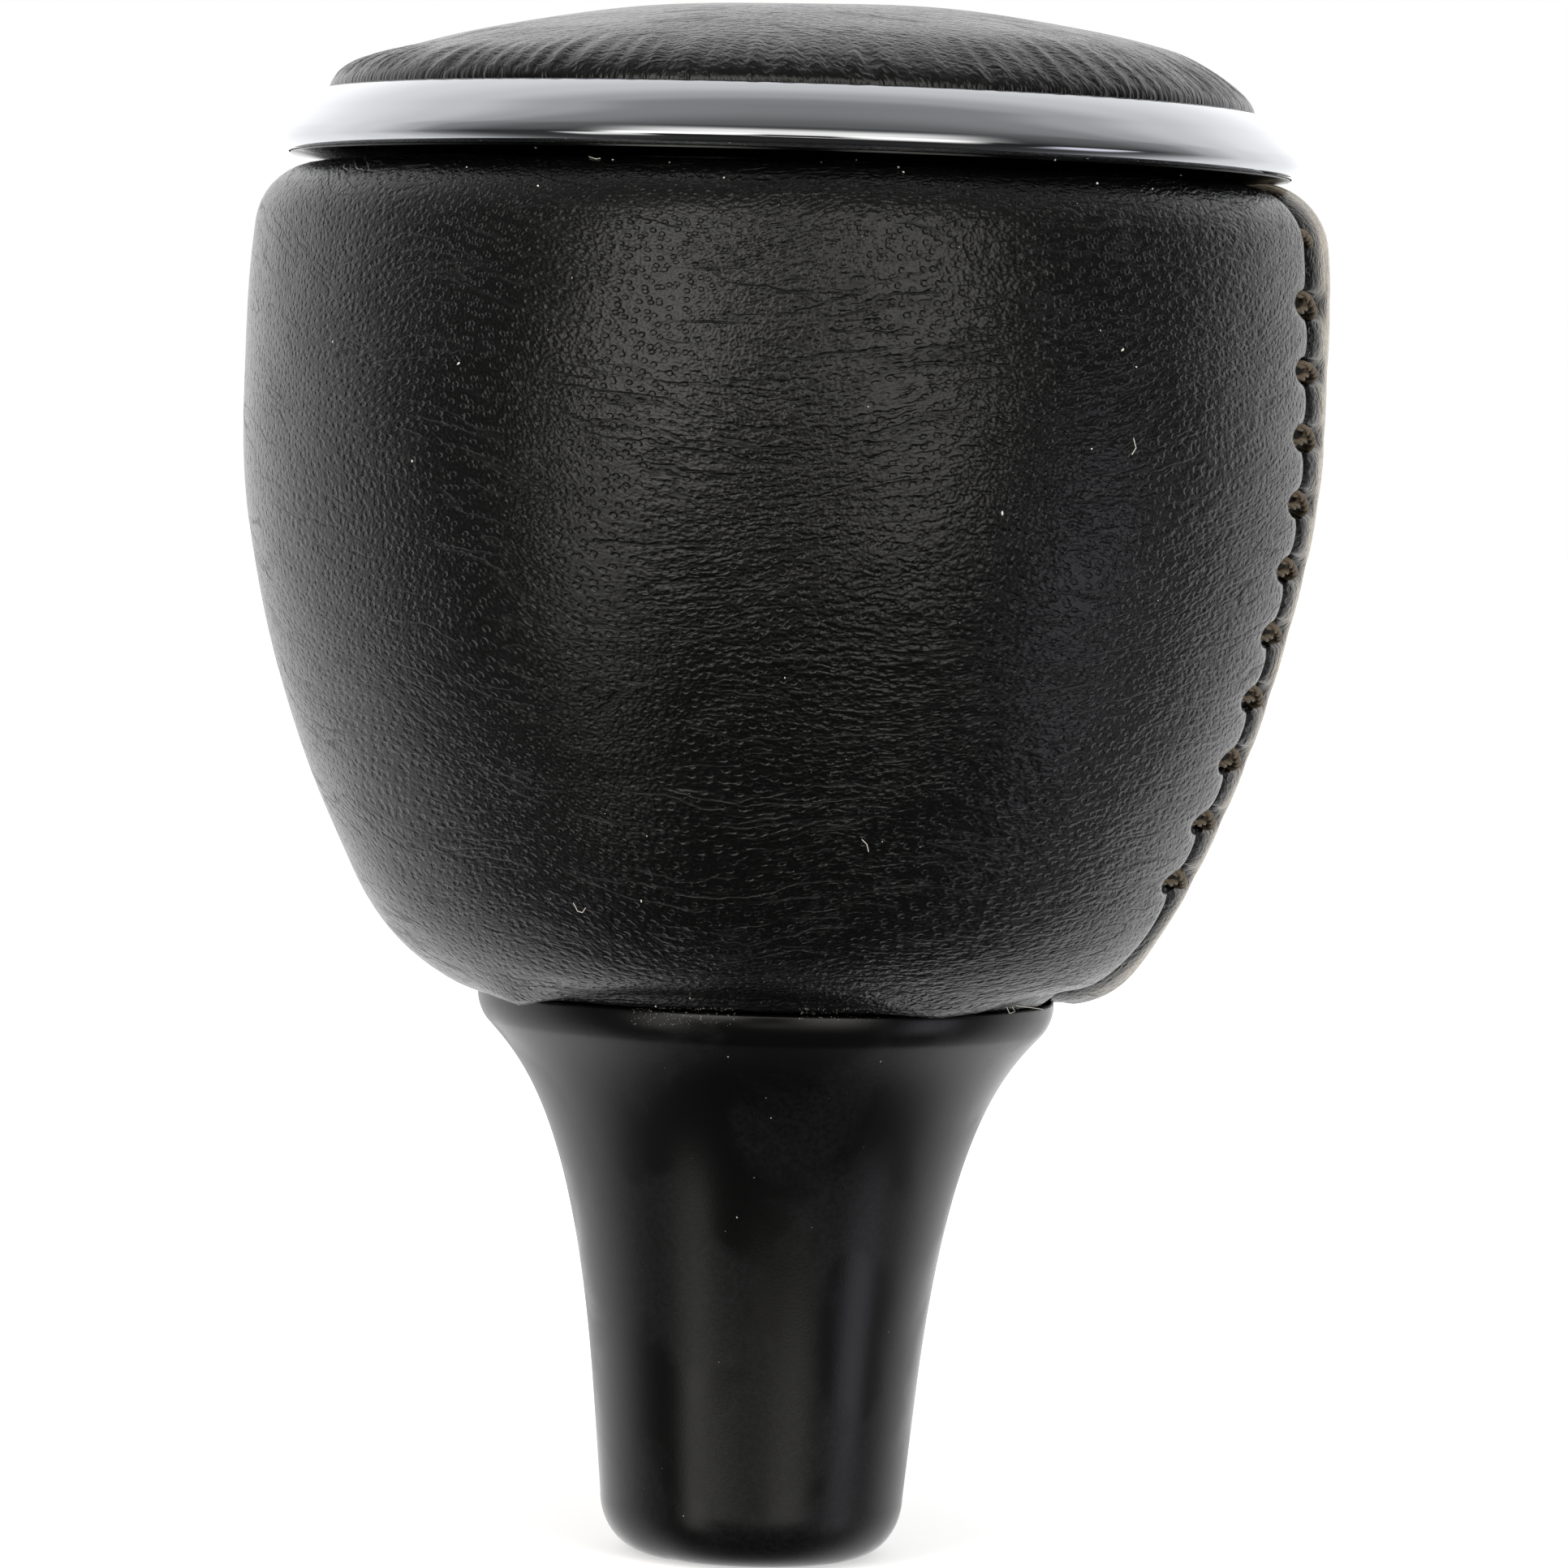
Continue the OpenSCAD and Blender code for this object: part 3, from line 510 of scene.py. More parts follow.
def nappa(material, place):
    """Black finished nappa over the coordinates of place, in millimetres, whose first axis runs along
    the grain: flat-bottomed pores, fine ripples, long thin creases, a fine grain and soft wrinkles."""
    sway = add_node(material, "ShaderNodeTexNoise", {"Scale": 0.1, "Detail": 0.0}, {"Vector": place})
    bent = add_node(material, "ShaderNodeVectorMath", {"operation": "MULTIPLY_ADD", 1: (3.0, 3.5, 0.0)},
                    {0: sway.outputs["Color"], 2: place})
    jitter = add_node(material, "ShaderNodeTexNoise", {"Scale": 0.9, "Detail": 2.0}, {"Vector": place})
    shaken = add_node(material, "ShaderNodeVectorMath",
                      {"operation": "MULTIPLY_ADD", 1: (0.5, 0.6, 0.0)},
                      {0: jitter.outputs["Color"], 2: bent.outputs[0]})

    def pattern(kind, source, stretch, size, settings):
        """A texture with pieces of that size in millimetres, drawn out along the grain."""
        along = add_node(material, "ShaderNodeVectorMath",
                         {"operation": "MULTIPLY", 1: (1 / (stretch * size), 1 / size, 0.0)},
                         {0: source})
        return add_node(material, kind, settings, {"Vector": along.outputs[0]})

    def furrows(stretch, size, detail, width):
        """Height 1 with long wavy furrows down to 0 where a drawn-out noise crosses its middle."""
        noise = pattern("ShaderNodeTexNoise", shaken.outputs[0], stretch, size,
                        {"noise_dimensions": "2D", "Scale": 1.0, "Detail": detail, "Roughness": 0.5})
        off = add_node(material, "ShaderNodeMath", {"operation": "SUBTRACT", 1: 0.5},
                       {0: noise.outputs["Fac"]})
        away = add_node(material, "ShaderNodeMath", {"operation": "ABSOLUTE"}, {0: off.outputs[0]})
        return add_node(material, "ShaderNodeMapRange",
                        {"interpolation_type": "SMOOTHSTEP", "From Min": 0.0, "From Max": width},
                        {"Value": away.outputs[0]}).outputs[0]

    pores = pattern("ShaderNodeTexVoronoi", bent.outputs[0], 1.15, PORE,
                    {"voronoi_dimensions": "2D", "Scale": 1.0, "Randomness": 0.9})
    pore_wall = add_node(material, "ShaderNodeMapRange",
                         {"interpolation_type": "SMOOTHSTEP", "From Min": 0.15, "From Max": 0.36},
                         {"Value": pores.outputs["Distance"]})
    pore_draw = add_node(material, "ShaderNodeSeparateColor", None, {"Color": pores.outputs["Color"]})
    pore_share = add_node(material, "ShaderNodeMapRange", {"To Min": 0.5},
                          {"Value": pore_draw.outputs[0]})
    pore_height = add_node(material, "ShaderNodeMath", {"operation": "MULTIPLY"},
                           {0: pore_wall.outputs[0], 1: pore_share.outputs[0]})
    along_grain = add_node(material, "ShaderNodeSeparateXYZ", None, {"Vector": place})
    ripple_side = add_node(material, "ShaderNodeMapRange",
                           {"interpolation_type": "SMOOTHSTEP", "From Min": -9.0, "From Max": 1.0,
                            "To Min": 0.1}, {"Value": along_grain.outputs["X"]})
    ripple_patch = add_node(material, "ShaderNodeTexNoise", {"Scale": 0.2, "Detail": 2.0},
                            {"Vector": place})
    ripple_share = add_node(material, "ShaderNodeMapRange",
                            {"From Min": 0.3, "From Max": 0.6, "To Min": 0.4},
                            {"Value": ripple_patch.outputs["Fac"]})
    ripple_force = add_node(material, "ShaderNodeMath", {"operation": "MULTIPLY"},
                            {0: ripple_side.outputs[0], 1: ripple_share.outputs[0]})
    ripples = add_node(material, "ShaderNodeMath", {"operation": "MULTIPLY"},
                       {0: furrows(3.4, RIPPLE, 1.5, 0.22), 1: ripple_force.outputs[0]})
    crease_patch = pattern("ShaderNodeTexNoise", place, 2.0, 1.0, {"Scale": 0.35, "Detail": 2.0})
    crease_share = add_node(material, "ShaderNodeMapRange",
                            {"interpolation_type": "SMOOTHSTEP", "From Min": 0.42, "From Max": 0.6,
                             "To Min": 1.0, "To Max": 0.0}, {"Value": crease_patch.outputs["Fac"]})
    creases = add_node(material, "ShaderNodeMath", {"operation": "MAXIMUM"},
                       {0: furrows(6.0, CREASE, 2.0, 0.03), 1: crease_share.outputs[0]}).outputs[0]
    grain = pattern("ShaderNodeTexNoise", bent.outputs[0], 1.2, GRAIN,
                    {"noise_dimensions": "2D", "Scale": 1.0, "Detail": 0.5, "Roughness": 0.5})
    wrinkles = pattern("ShaderNodeTexNoise", bent.outputs[0], 2.6, WRINKLE,
                       {"noise_dimensions": "2D", "Scale": 1.0, "Detail": 1.0})
    relief = {}
    for height, deep in ((pore_height.outputs[0], PORE_DEEP), (ripples.outputs[0], RIPPLE_DEEP),
                         (creases, CREASE_DEEP), (grain.outputs["Fac"], GRAIN_DEEP),
                         (wrinkles.outputs["Fac"], WRINKLE_DEEP)):
        pressed = add_node(material, "ShaderNodeBump", {"Strength": 1.0, "Distance": deep * MM},
                           {"Height": height, **relief})
        relief = {"Normal": pressed.outputs["Normal"]}
    # The creases' bottoms are painted darker than the rest of the leather: painted shade in the creases
    colour_with_painted_light = add_node(material, "ShaderNodeMix",
                     {"data_type": "RGBA", 6: srgb("#020202"), 7: srgb("#070707")}, {0: creases})
    # Along the rear edge behind the seam the leather gets a tan sheen and a faint painted tan tint, partly
    # a rubbed nap and partly painted reflection of the warm glancing light there
    nap_and_glow = add_node(material, "ShaderNodeAttribute", {"attribute_name": "nap_and_glow"})
    glow_streak = add_node(material, "ShaderNodeMapRange",
                          {"From Min": 0.35, "From Max": 0.65, "To Min": 0.55, "To Max": 1.0},
                          {"Value": jitter.outputs["Fac"]})
    nap_glow_share = add_node(material, "ShaderNodeMath", {"operation": "MULTIPLY"},
                         {0: nap_and_glow.outputs["Fac"], 1: glow_streak.outputs[0]})
    glow_tint = add_node(material, "ShaderNodeMath", {"operation": "MULTIPLY", 1: 0.1},
                    {0: nap_glow_share.outputs[0]})
    colour_with_painted_light = add_node(material, "ShaderNodeMix", {"data_type": "RGBA", 7: srgb("#8a7a66")},
                     {0: glow_tint.outputs[0], 6: colour_with_painted_light.outputs[2]})
    polish = add_node(material, "ShaderNodeMapRange", {"To Min": 0.4, "To Max": 0.25},
                      {"Value": creases})
    finish = add_node(material, "ShaderNodeBsdfPrincipled",
                      {"IOR": 1.52, "Sheen Roughness": 0.3, "Sheen Tint": srgb("#f2e2c8")},
                      {"Base Color": colour_with_painted_light.outputs[2], "Roughness": polish.outputs[0],
                       "Sheen Weight": nap_glow_share.outputs[0], **relief})
    add_node(material, "ShaderNodeOutputMaterial", None, {"Surface": finish.outputs["BSDF"]})


head_leather = new_material("finished_nappa")
hide_map = add_node(head_leather, "ShaderNodeUVMap", {"uv_map": "hide"})
hide_mm = add_node(head_leather, "ShaderNodeMapping", {"Scale": [HIDE_UNIT] * 3},
                   {"Vector": hide_map.outputs["UV"]})
nappa(head_leather, hide_mm.outputs[0])
dress(cover, head_leather)
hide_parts("leather_wrap")
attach(cover, "root")

# Lacing: in every eye two strands of waxed dark brown thread, worn to tan fibres, cross from one edge
# to the other and dive under the leather at both ends. Each strand is two plies laid together.
THREAD_R = 0.25
PLY_R = 0.14
PLY_TURN = 1.1
STRAND_HALF = 1.75
STRAND_STEPS = 32
STRAND_DIVE = 1.0
STRAND_SAG = 0.1
STRAND_LEVEL = 0.25
SLANT_SPREAD = 6
FIBRE = 0.09
FIBRE_DEEP = 0.03
# Each strand's slant in degrees, and how deep it lies under the leather's skin
STRANDS = ((-24, 0.3), (16, 0.65))
strands = []
for number, middle_z in enumerate(stitch_z):
    tilt = math.atan(side_slope(middle_z))
    outward = Vector((math.cos(tilt), 0, -math.sin(tilt)))
    upward = Vector((math.sin(tilt), 0, math.cos(tilt)))
    centre = Vector((side(middle_z), 0, middle_z))
    slant_draw = random.Random(number)
    for slant, deep in STRANDS:
        slant += slant_draw.uniform(-SLANT_SPREAD, SLANT_SPREAD)
        for ply in (0, 1):
            points = []
            for i in range(STRAND_STEPS + 1):
                t = -1 + 2 * i / STRAND_STEPS
                across = STRAND_HALF * t
                up = across * math.tan(math.radians(slant)) * (1 - STRAND_LEVEL * t * t)
                sink = deep + STRAND_DIVE * t ** 4 + STRAND_SAG * t * t
                twist = 2 * math.pi * across / PLY_TURN + math.pi * ply
                up += (THREAD_R - PLY_R) * math.sin(twist)
                sink += (THREAD_R - PLY_R) * math.cos(twist)
                points.append(centre + upward * up - outward * sink + Vector((0, across, 0)))
            strands.append(points)


def tubes(name, paths, radius, sides=2):
    """Round threads of that radius along paths of points in millimetres, joined in one mesh."""
    curve = bpy.data.curves.new(name, "CURVE")
    curve.dimensions = "3D"
    curve.bevel_depth = radius * MM
    curve.bevel_resolution = sides
    curve.use_fill_caps = True
    for points in paths:
        spline = curve.splines.new("POLY")
        spline.points.add(len(points) - 1)
        for spot, point in zip(spline.points, points):
            spot.co = (*(Vector(point) * MM), 1)
    piece = bpy.data.objects.new(name, curve)
    bpy.context.scene.collection.objects.link(piece)
    bpy.ops.object.select_all(action="DESELECT")
    piece.select_set(True)
    bpy.context.view_layer.objects.active = piece
    bpy.ops.object.convert(target="MESH")
    piece = bpy.context.object
    bpy.ops.object.shade_smooth()
    return piece


lacing = tubes("seam_thread", strands, PLY_R)
thread = new_material("waxed_polyester_thread")
thread_place = add_node(thread, "ShaderNodeTexCoord").outputs["Object"]
thread_fibre = add_node(thread, "ShaderNodeTexNoise", {"Scale": 1 / (FIBRE * MM), "Detail": 3.0},
                        {"Vector": thread_place})
thread_colour = add_node(thread, "ShaderNodeMix",
                         {"data_type": "RGBA", 6: srgb("#241e18"), 7: srgb("#8a7a64")},
                         {0: thread_fibre.outputs["Fac"]})
thread_bump = add_node(thread, "ShaderNodeBump", {"Strength": 0.8, "Distance": FIBRE_DEEP * MM},
                       {"Height": thread_fibre.outputs["Fac"]})
thread_skin = add_node(thread, "ShaderNodeBsdfPrincipled", {"Roughness": 0.5},
                       {"Base Color": thread_colour.outputs[2], "Normal": thread_bump.outputs["Normal"]})
add_node(thread, "ShaderNodeOutputMaterial", None, {"Surface": thread_skin.outputs["BSDF"]})
dress(lacing, thread)
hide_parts("seam_lacing")
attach(lacing, "root")

# Carrier: a plain black ABS dish with a flange whose sloping underside shows as the dark band between
# the ring and the leather. It is gloss black from a polished tool, and dust has settled on it.
dress(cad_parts["bezel_carrier"], satin_moulding("gloss_black_abs", "#020202", "#050505",
                                                      roughness=0.18, grain=0.5, depth=0.002))

# Ring: ABS plated with copper, nickel and bright chrome, a mirror with faint waves and a film of
# wiping. Its face is one soft curve from a thin lip up to the pad's opening. The six pegs below it
# that are pressed into the carrier are not drawn.
RING_BASE = 81.8
RING_TOP = 85.5
RING_R = 30.2
RING_OPEN_R = 27.25
RING_LIP = 0.5
FLANGE_R = 29.3
FLANGE_PLAY = 0.1
PLATING_WAVE = 7.0
PLATING_DEEP = 0.03
WIPED_PATCH = 4.0
ring_line = bend((RING_R - 0.45, RING_BASE), (RING_R - 0.22, RING_BASE + 0.12),
                 (RING_R, RING_BASE + 0.45), (RING_R, RING_BASE + 0.62), 10)
ring_line += bend((RING_R, RING_BASE + 0.62), (RING_R, RING_BASE + 0.72),
                  (RING_R - 0.06, RING_BASE + 0.95), (RING_R - 0.14, RING_BASE + 1.12), 10)[1:]
ring_line += bend((RING_R - 0.14, RING_BASE + 1.12), (RING_R - 0.42, RING_BASE + 1.56),
                  (RING_R - 0.79, RING_BASE + 1.93), (RING_R - 1.14, RING_BASE + 2.32), 12)[1:]
ring_line += bend((RING_R - 1.14, RING_BASE + 2.32), (RING_R - 1.64, RING_BASE + 2.87),
                  (RING_OPEN_R + 0.67, RING_TOP - 0.33), (RING_OPEN_R, RING_TOP), 24)[1:]
ring_line += [(RING_OPEN_R, RING_BASE + RING_LIP), (FLANGE_R + FLANGE_PLAY, RING_BASE + RING_LIP),
              (FLANGE_R + FLANGE_PLAY, RING_BASE)]
ring = turned("bright_ring", ring_line, steps=384, smooth=50)
chrome = new_material("bright_chrome_plating")
chrome_place = add_node(chrome, "ShaderNodeTexCoord").outputs["Object"]
chrome_wave = add_node(chrome, "ShaderNodeTexNoise", {"Scale": 1 / (PLATING_WAVE * MM), "Detail": 1.0},
                       {"Vector": chrome_place})
chrome_film = add_node(chrome, "ShaderNodeTexNoise", {"Scale": 1 / (WIPED_PATCH * MM), "Detail": 5.0},
                       {"Vector": chrome_place})
chrome_bump = add_node(chrome, "ShaderNodeBump", {"Strength": 1.0, "Distance": PLATING_DEEP * MM},
                       {"Height": chrome_wave.outputs["Fac"]})
chrome_polish = add_node(chrome, "ShaderNodeMapRange", {"To Min": 0.03, "To Max": 0.1},
                         {"Value": chrome_film.outputs["Fac"]})
chrome_skin = add_node(chrome, "ShaderNodeBsdfPrincipled",
                       {"Metallic": 1.0, "Base Color": srgb("#cfd1d5")},
                       {"Roughness": chrome_polish.outputs[0], "Normal": chrome_bump.outputs["Normal"]})
add_node(chrome, "ShaderNodeOutputMaterial", None, {"Surface": chrome_skin.outputs["BSDF"]})
dress(ring, chrome)
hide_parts("chrome_ring")
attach(ring, "root")

# Pad cover: black nappa drawn down over the foam dome and glued under the plate. The leather that is
# left over at the edge is gathered in many small pleats that fade out towards the crown.
PAD_R = 27.1
PAD_BASE = 83.2
PAD_SIDE = 2.4
PAD_DOME = 5.75
PAD_TOP = PAD_BASE + PAD_SIDE + PAD_DOME
DOME_POWER = 1.16
PAD_HEM = 4.6
PLATE_TOP = 85.6
PAD_ROUND = 0.6
# The cover's crown leans a little to one side, and swells softly
PAD_LEAN = 0.02
PAD_LEAN_TURN = math.radians(14.5)
PAD_SWELL = 0.08
# Sets of pleats round the edge, their height, and how far in they reach
PLEAT_SETS = (61, 83, 97, 118, 139)
PLEAT_H = 0.035
PLEAT_REACH = 2.6


def dome(radius, base, top, count):
    """The dome's outline from its edge to its crown."""
    angles = [math.radians(90 * i / count) for i in range(count + 1)]
    return [(radius * math.cos(a), base + (top - base) * math.sin(a) ** DOME_POWER) for a in angles]


pad_line = [(PAD_R - PAD_HEM, PAD_BASE)]
pad_line += arc((PAD_R - PAD_ROUND, PAD_BASE + PAD_ROUND), PAD_ROUND, -90, 0, 4)
pad_line += dome(PAD_R, PAD_BASE + PAD_SIDE, PAD_TOP, 64)
pad_line += dome(PAD_R - LEATHER_T, PLATE_TOP, PAD_TOP - LEATHER_T, 16)[::-1]
pad_line += [(PAD_R - LEATHER_T, PAD_BASE + LEATHER_T), (PAD_R - PAD_HEM, PAD_BASE + LEATHER_T)]
pad = turned("pad_cover", pad_line, steps=720, smooth=60)
skin = np.empty(len(pad.data.vertices) * 3)
pad.data.vertices.foreach_get("co", skin)
skin = skin.reshape(-1, 3) / MM
around = np.arctan2(skin[:, 1], skin[:, 0])
inward = PAD_R - np.hypot(skin[:, 0], skin[:, 1])
# Only the cover's outer face is shaped: what stands above a dome a little lower than the cover
above_plate = skin[:, 2] > PLATE_TOP + 0.1
lower_dome = PAD_BASE + PAD_SIDE + (PAD_DOME - 0.4) * np.sqrt(
    np.clip(1 - ((PAD_R - inward) / PAD_R) ** 2, 0, 1)) ** 1.3 - 0.4
outer = above_plate & (skin[:, 2] > lower_dome)
pleats = np.zeros_like(around)
pleat_draw = random.Random(21)
for turns in PLEAT_SETS:
    pleats += np.sin(turns * around + pleat_draw.uniform(0, 6.28) + 1.2 * np.sin(5 * around + turns))
reach_in = PLEAT_REACH + 1.2 * np.sin(7 * around + 0.7) + 0.6 * np.sin(17 * around)
pleat_share = ease(inward, 0.0, 0.5) * (1 - ease(inward, 0.3, 1) * ease(inward, 1.2, reach_in + 2))
skin[:, 2] += np.where(outer, PLEAT_H * pleats * pleat_share, 0)
crown_share = ease(inward, 3, 10)
skin[:, 2] += np.where(outer, PAD_SWELL * np.sin(0.35 * skin[:, 0] + 1) * np.sin(0.29 * skin[:, 1])
                       * crown_share - PAD_SWELL * crown_share, 0)
leaning = skin[:, 0] * math.cos(PAD_LEAN_TURN) + skin[:, 1] * math.sin(PAD_LEAN_TURN)
skin[:, 2] += PAD_LEAN * leaning * ease(inward, 0.3, 5) * (skin[:, 2] > PLATE_TOP + 0.1)
pad.data.vertices.foreach_set("co", (skin * MM).ravel())
pad.data.update()
pad_leather = new_material("drawn_nappa")
pad_place = add_node(pad_leather, "ShaderNodeTexCoord").outputs["Object"]
pad_mm = add_node(pad_leather, "ShaderNodeMapping", {"Scale": [1 / MM] * 3}, {"Vector": pad_place})
nappa(pad_leather, pad_mm.outputs[0])
dress(pad, pad_leather)
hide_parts("pad_leather")
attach(pad, "root")

# Dust and lint: pale household fibres and specks that cling to the leather, the carrier and the neck.
# The larger ones lie where the photograph shows them, the rest are strewn on the side it shows.
CAMERA_TURN = math.radians(14.5)
CAMERA_RISE = math.radians(2.7)
CAMERA_AWAY = 0.44
CAMERA_ROLL = math.radians(1.69)
CAMERA_AIM_Z = 45.53
CAMERA_AIM_RIGHT = 0.7
LENS = 171.4
SENSOR = 36
FRAME_PIXELS = 1932
PIXELS_PER_MM = 16
# Specks as pixel across, pixel down and width in pixels, and fibres as the pixels they pass
SPECK_SPOTS = ((1235, 632, 3.4), (1070, 501, 2.2), (1383, 431, 3.0), (1400, 452, 2.0), (565, 448, 3.0),
               (508, 568, 2.2), (410, 421, 1.8), (790, 1110, 2.6), (1345, 553, 2.0), (797, 1030, 1.6),
               (735, 196, 2.6), (755, 197, 2.4), (660, 182, 2.0), (1055, 197, 2.2), (663, 229, 2.2),
               (892, 219, 2.2), (1107, 206, 2.0), (1113, 212, 2.0), (575, 206, 1.8), (825, 200, 1.6),
               (1012, 200, 1.6), (1455, 216, 2.6), (1300, 197, 2.0), (1420, 233, 2.4), (1352, 226, 3.0),
               (897, 1302, 1.8), (908, 1500, 1.6), (1085, 1308, 1.6), (850, 1230, 1.8), (808, 1240, 2.0))
LINT_LINES = (((707, 1112), (712, 1122), (718, 1124), (722, 1118)),
              ((1062, 1034), (1068, 1040), (1070, 1049)),
              ((1396, 540), (1399, 552), (1394, 560)), ((726, 194), (734, 197), (740, 196)),
              ((1240, 1240), (1243, 1249), (1250, 1247), (1247, 1240)),
              ((1252, 1238), (1266, 1240), (1284, 1244)),
              ((1366, 1226), (1352, 1228), (1340, 1226)))
# Specks strewn over the knob's part of the frame, and the collar's two dusty patches as left, right,
# top, bottom and count of specks
STREWN = 150
STREWN_ACROSS = (320, 1610)
STREWN_DOWN = (185, 1900)
DUSTY = ((778, 905, 1242, 1264, 150), (985, 1090, 1243, 1257, 80))
SPECK_SINK = 0.01
SPECK_RAGGED = 0.12
LINT_R = 0.022
LINT_LIFT = 0.05
LINT_PATCH = 2.0
to_camera = Vector((math.sin(CAMERA_TURN) * math.cos(CAMERA_RISE),
                    -math.cos(CAMERA_TURN) * math.cos(CAMERA_RISE), math.sin(CAMERA_RISE)))
to_right = Vector((math.cos(CAMERA_TURN), math.sin(CAMERA_TURN), 0))
aim = Vector((0, 0, CAMERA_AIM_Z * MM)) + to_right * CAMERA_AIM_RIGHT * MM
camera_pose = Matrix.Translation(aim + to_camera * CAMERA_AWAY) @ to_camera.to_track_quat(
    "Z", "Y").to_matrix().to_4x4() @ Matrix.Rotation(CAMERA_ROLL, 4, "Z")
bpy.context.view_layer.update()
dressed_knob = bpy.context.evaluated_depsgraph_get()


def carried(across, down):
    """The point and the outward direction on the knob where the photograph's pixel falls, or None."""
    seen = Vector((across - FRAME_PIXELS / 2, FRAME_PIXELS / 2 - down, -LENS / SENSOR * FRAME_PIXELS))
    way = camera_pose.to_3x3() @ seen.normalized()
    hit, place, outward, _, _, _ = bpy.context.scene.ray_cast(dressed_knob, camera_pose.translation, way)
    return (place, outward) if hit else None


speck_draw = random.Random(77)
spots = [(carried(across, down), size / PIXELS_PER_MM) for across, down, size in SPECK_SPOTS]
for _ in range(STREWN):
    spot = carried(speck_draw.uniform(*STREWN_ACROSS), speck_draw.uniform(*STREWN_DOWN))
    spots.append((spot, 0.03 + 0.07 * speck_draw.random() ** 3))
for left, right, top, bottom, count in DUSTY:
    for _ in range(count):
        down = top + (bottom - top) * speck_draw.random() ** 2
        spots.append((carried(speck_draw.uniform(left, right), down), 0.02 + 0.03 * speck_draw.random()))
speck_shape = bmesh.new()
for spot, size in spots:
    if not spot:
        continue
    place, outward = spot
    laid = outward.to_track_quat("Z", "Y").to_matrix().to_4x4()
    squash = Matrix.Diagonal((size * speck_draw.uniform(0.7, 1.5), size * speck_draw.uniform(0.4, 0.9),
                              size * 0.4, 1))
    spin = Matrix.Rotation(speck_draw.uniform(0, 3.14), 4, "Z")
    seat = Matrix.Translation(place + outward * SPECK_SINK * MM)
    grown = bmesh.ops.create_icosphere(speck_shape, subdivisions=1, radius=0.5 * MM,
                                       matrix=seat @ laid @ spin @ squash)
    for vertex in grown["verts"]:
        vertex.co += Vector([speck_draw.uniform(-SPECK_RAGGED, SPECK_RAGGED) * size * MM
                             for _ in range(3)])
speck_mesh = bpy.data.meshes.new("dust_specks")
speck_shape.to_mesh(speck_mesh)
speck_shape.free()
specks = bpy.data.objects.new("dust_specks", speck_mesh)
bpy.context.scene.collection.objects.link(specks)
fibres = []
for line in LINT_LINES:
    found = [spot for spot in (carried(across, down) for across, down in line) if spot]
    if len(found) > 1:
        fibres.append([(place + outward * LINT_LIFT * MM) / MM for place, outward in found])
lint = tubes("lint_hairs", fibres, LINT_R)
lint_white = new_material("household_lint")
lint_place = add_node(lint_white, "ShaderNodeTexCoord").outputs["Object"]
lint_noise = add_node(lint_white, "ShaderNodeTexNoise", {"Scale": 1 / (LINT_PATCH * MM)},
                      {"Vector": lint_place})
lint_colour = add_node(lint_white, "ShaderNodeMix",
                       {"data_type": "RGBA", 6: srgb("#b5aea0"), 7: srgb("#f4f2ec")},
                       {0: lint_noise.outputs["Fac"]})
lint_skin = add_node(lint_white, "ShaderNodeBsdfPrincipled", {"Roughness": 0.9},
                     {"Base Color": lint_colour.outputs[2]})
add_node(lint_white, "ShaderNodeOutputMaterial", None, {"Surface": lint_skin.outputs["BSDF"]})
for piece in (specks, lint):
    dress(piece, lint_white)
    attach(piece, "root")

# Studio: a pale seamless table that runs out to white under soft boxes left, right and above. Shiny
# skins mirror the room instead: white behind the knob, darkening towards the camera, with the broad
# soft glow of the boxes and of a window in it.
ROOM_TONES = ((-1.0, 0.05), (-0.64, 0.11), (-0.3, 0.2), (0.05, 0.38), (0.2, 0.6), (0.45, 0.95),
              (0.7, 1.15), (1.0, 1.35))
BACKDROP_TURN = 186
AMBIENT = 0.55
TABLE_SIZE = 8
TABLE_DROP = 0.05
LAMP_AIM_Z = 55
# Glows in the room: turn from the camera and half width in degrees, the heights in degrees at which
# they start, are full, fade and end, and their colour
GLOWS = ((-25, 13, (-18, 0, 10, 26), (2.35, 2.31, 2.17)),
         (-43, 8, (-46, -28, -12, 0), (1.1, 1.08, 1.04)),
         (27, 12, (-36, -2, 10, 26), (1.6, 1.57, 1.48)),
         (72, 9, (-42, -22, -10, 0), (0.95, 0.94, 1.05)),
         (2, 34, (6, 20, 30, 46), (1.25, 1.23, 1.17)),
         (2, 8, (-27, -24, -21, -18), (0.9, 0.85, 0.82)))

bpy.ops.object.select_all(action="DESELECT")
bpy.ops.mesh.primitive_plane_add(size=TABLE_SIZE, location=(0, 0, -TABLE_DROP * MM))
table = bpy.context.object
table.name = "studio_table"
paper = new_material("white_seamless_paper")
paper.cycles.emission_sampling = "NONE"
paper_light = add_node(paper, "ShaderNodeLightPath")
paper_place = add_node(paper, "ShaderNodeTexCoord").outputs["Object"]
paper_away = add_node(paper, "ShaderNodeVectorMath", {"operation": "LENGTH"}, {0: paper_place})
paper_out = add_node(paper, "ShaderNodeMapRange",
                     {"interpolation_type": "SMOOTHSTEP", "From Min": 0.03, "From Max": 0.24,
                      "To Min": 0.55, "To Max": 1.0}, {"Value": paper_away.outputs["Value"]})
paper_seen = add_node(paper, "ShaderNodeMath", {"operation": "MAXIMUM"},
                      {0: paper_light.outputs["Is Camera Ray"],
                       1: paper_light.outputs["Is Transmission Ray"]})
paper_strength = add_node(paper, "ShaderNodeMath", {"operation": "MULTIPLY"},
                          {0: paper_seen.outputs[0], 1: paper_out.outputs[0]})
paper_glow = add_node(paper, "ShaderNodeEmission", {"Color": (1, 1, 1, 1)},
                      {"Strength": paper_strength.outputs[0]})
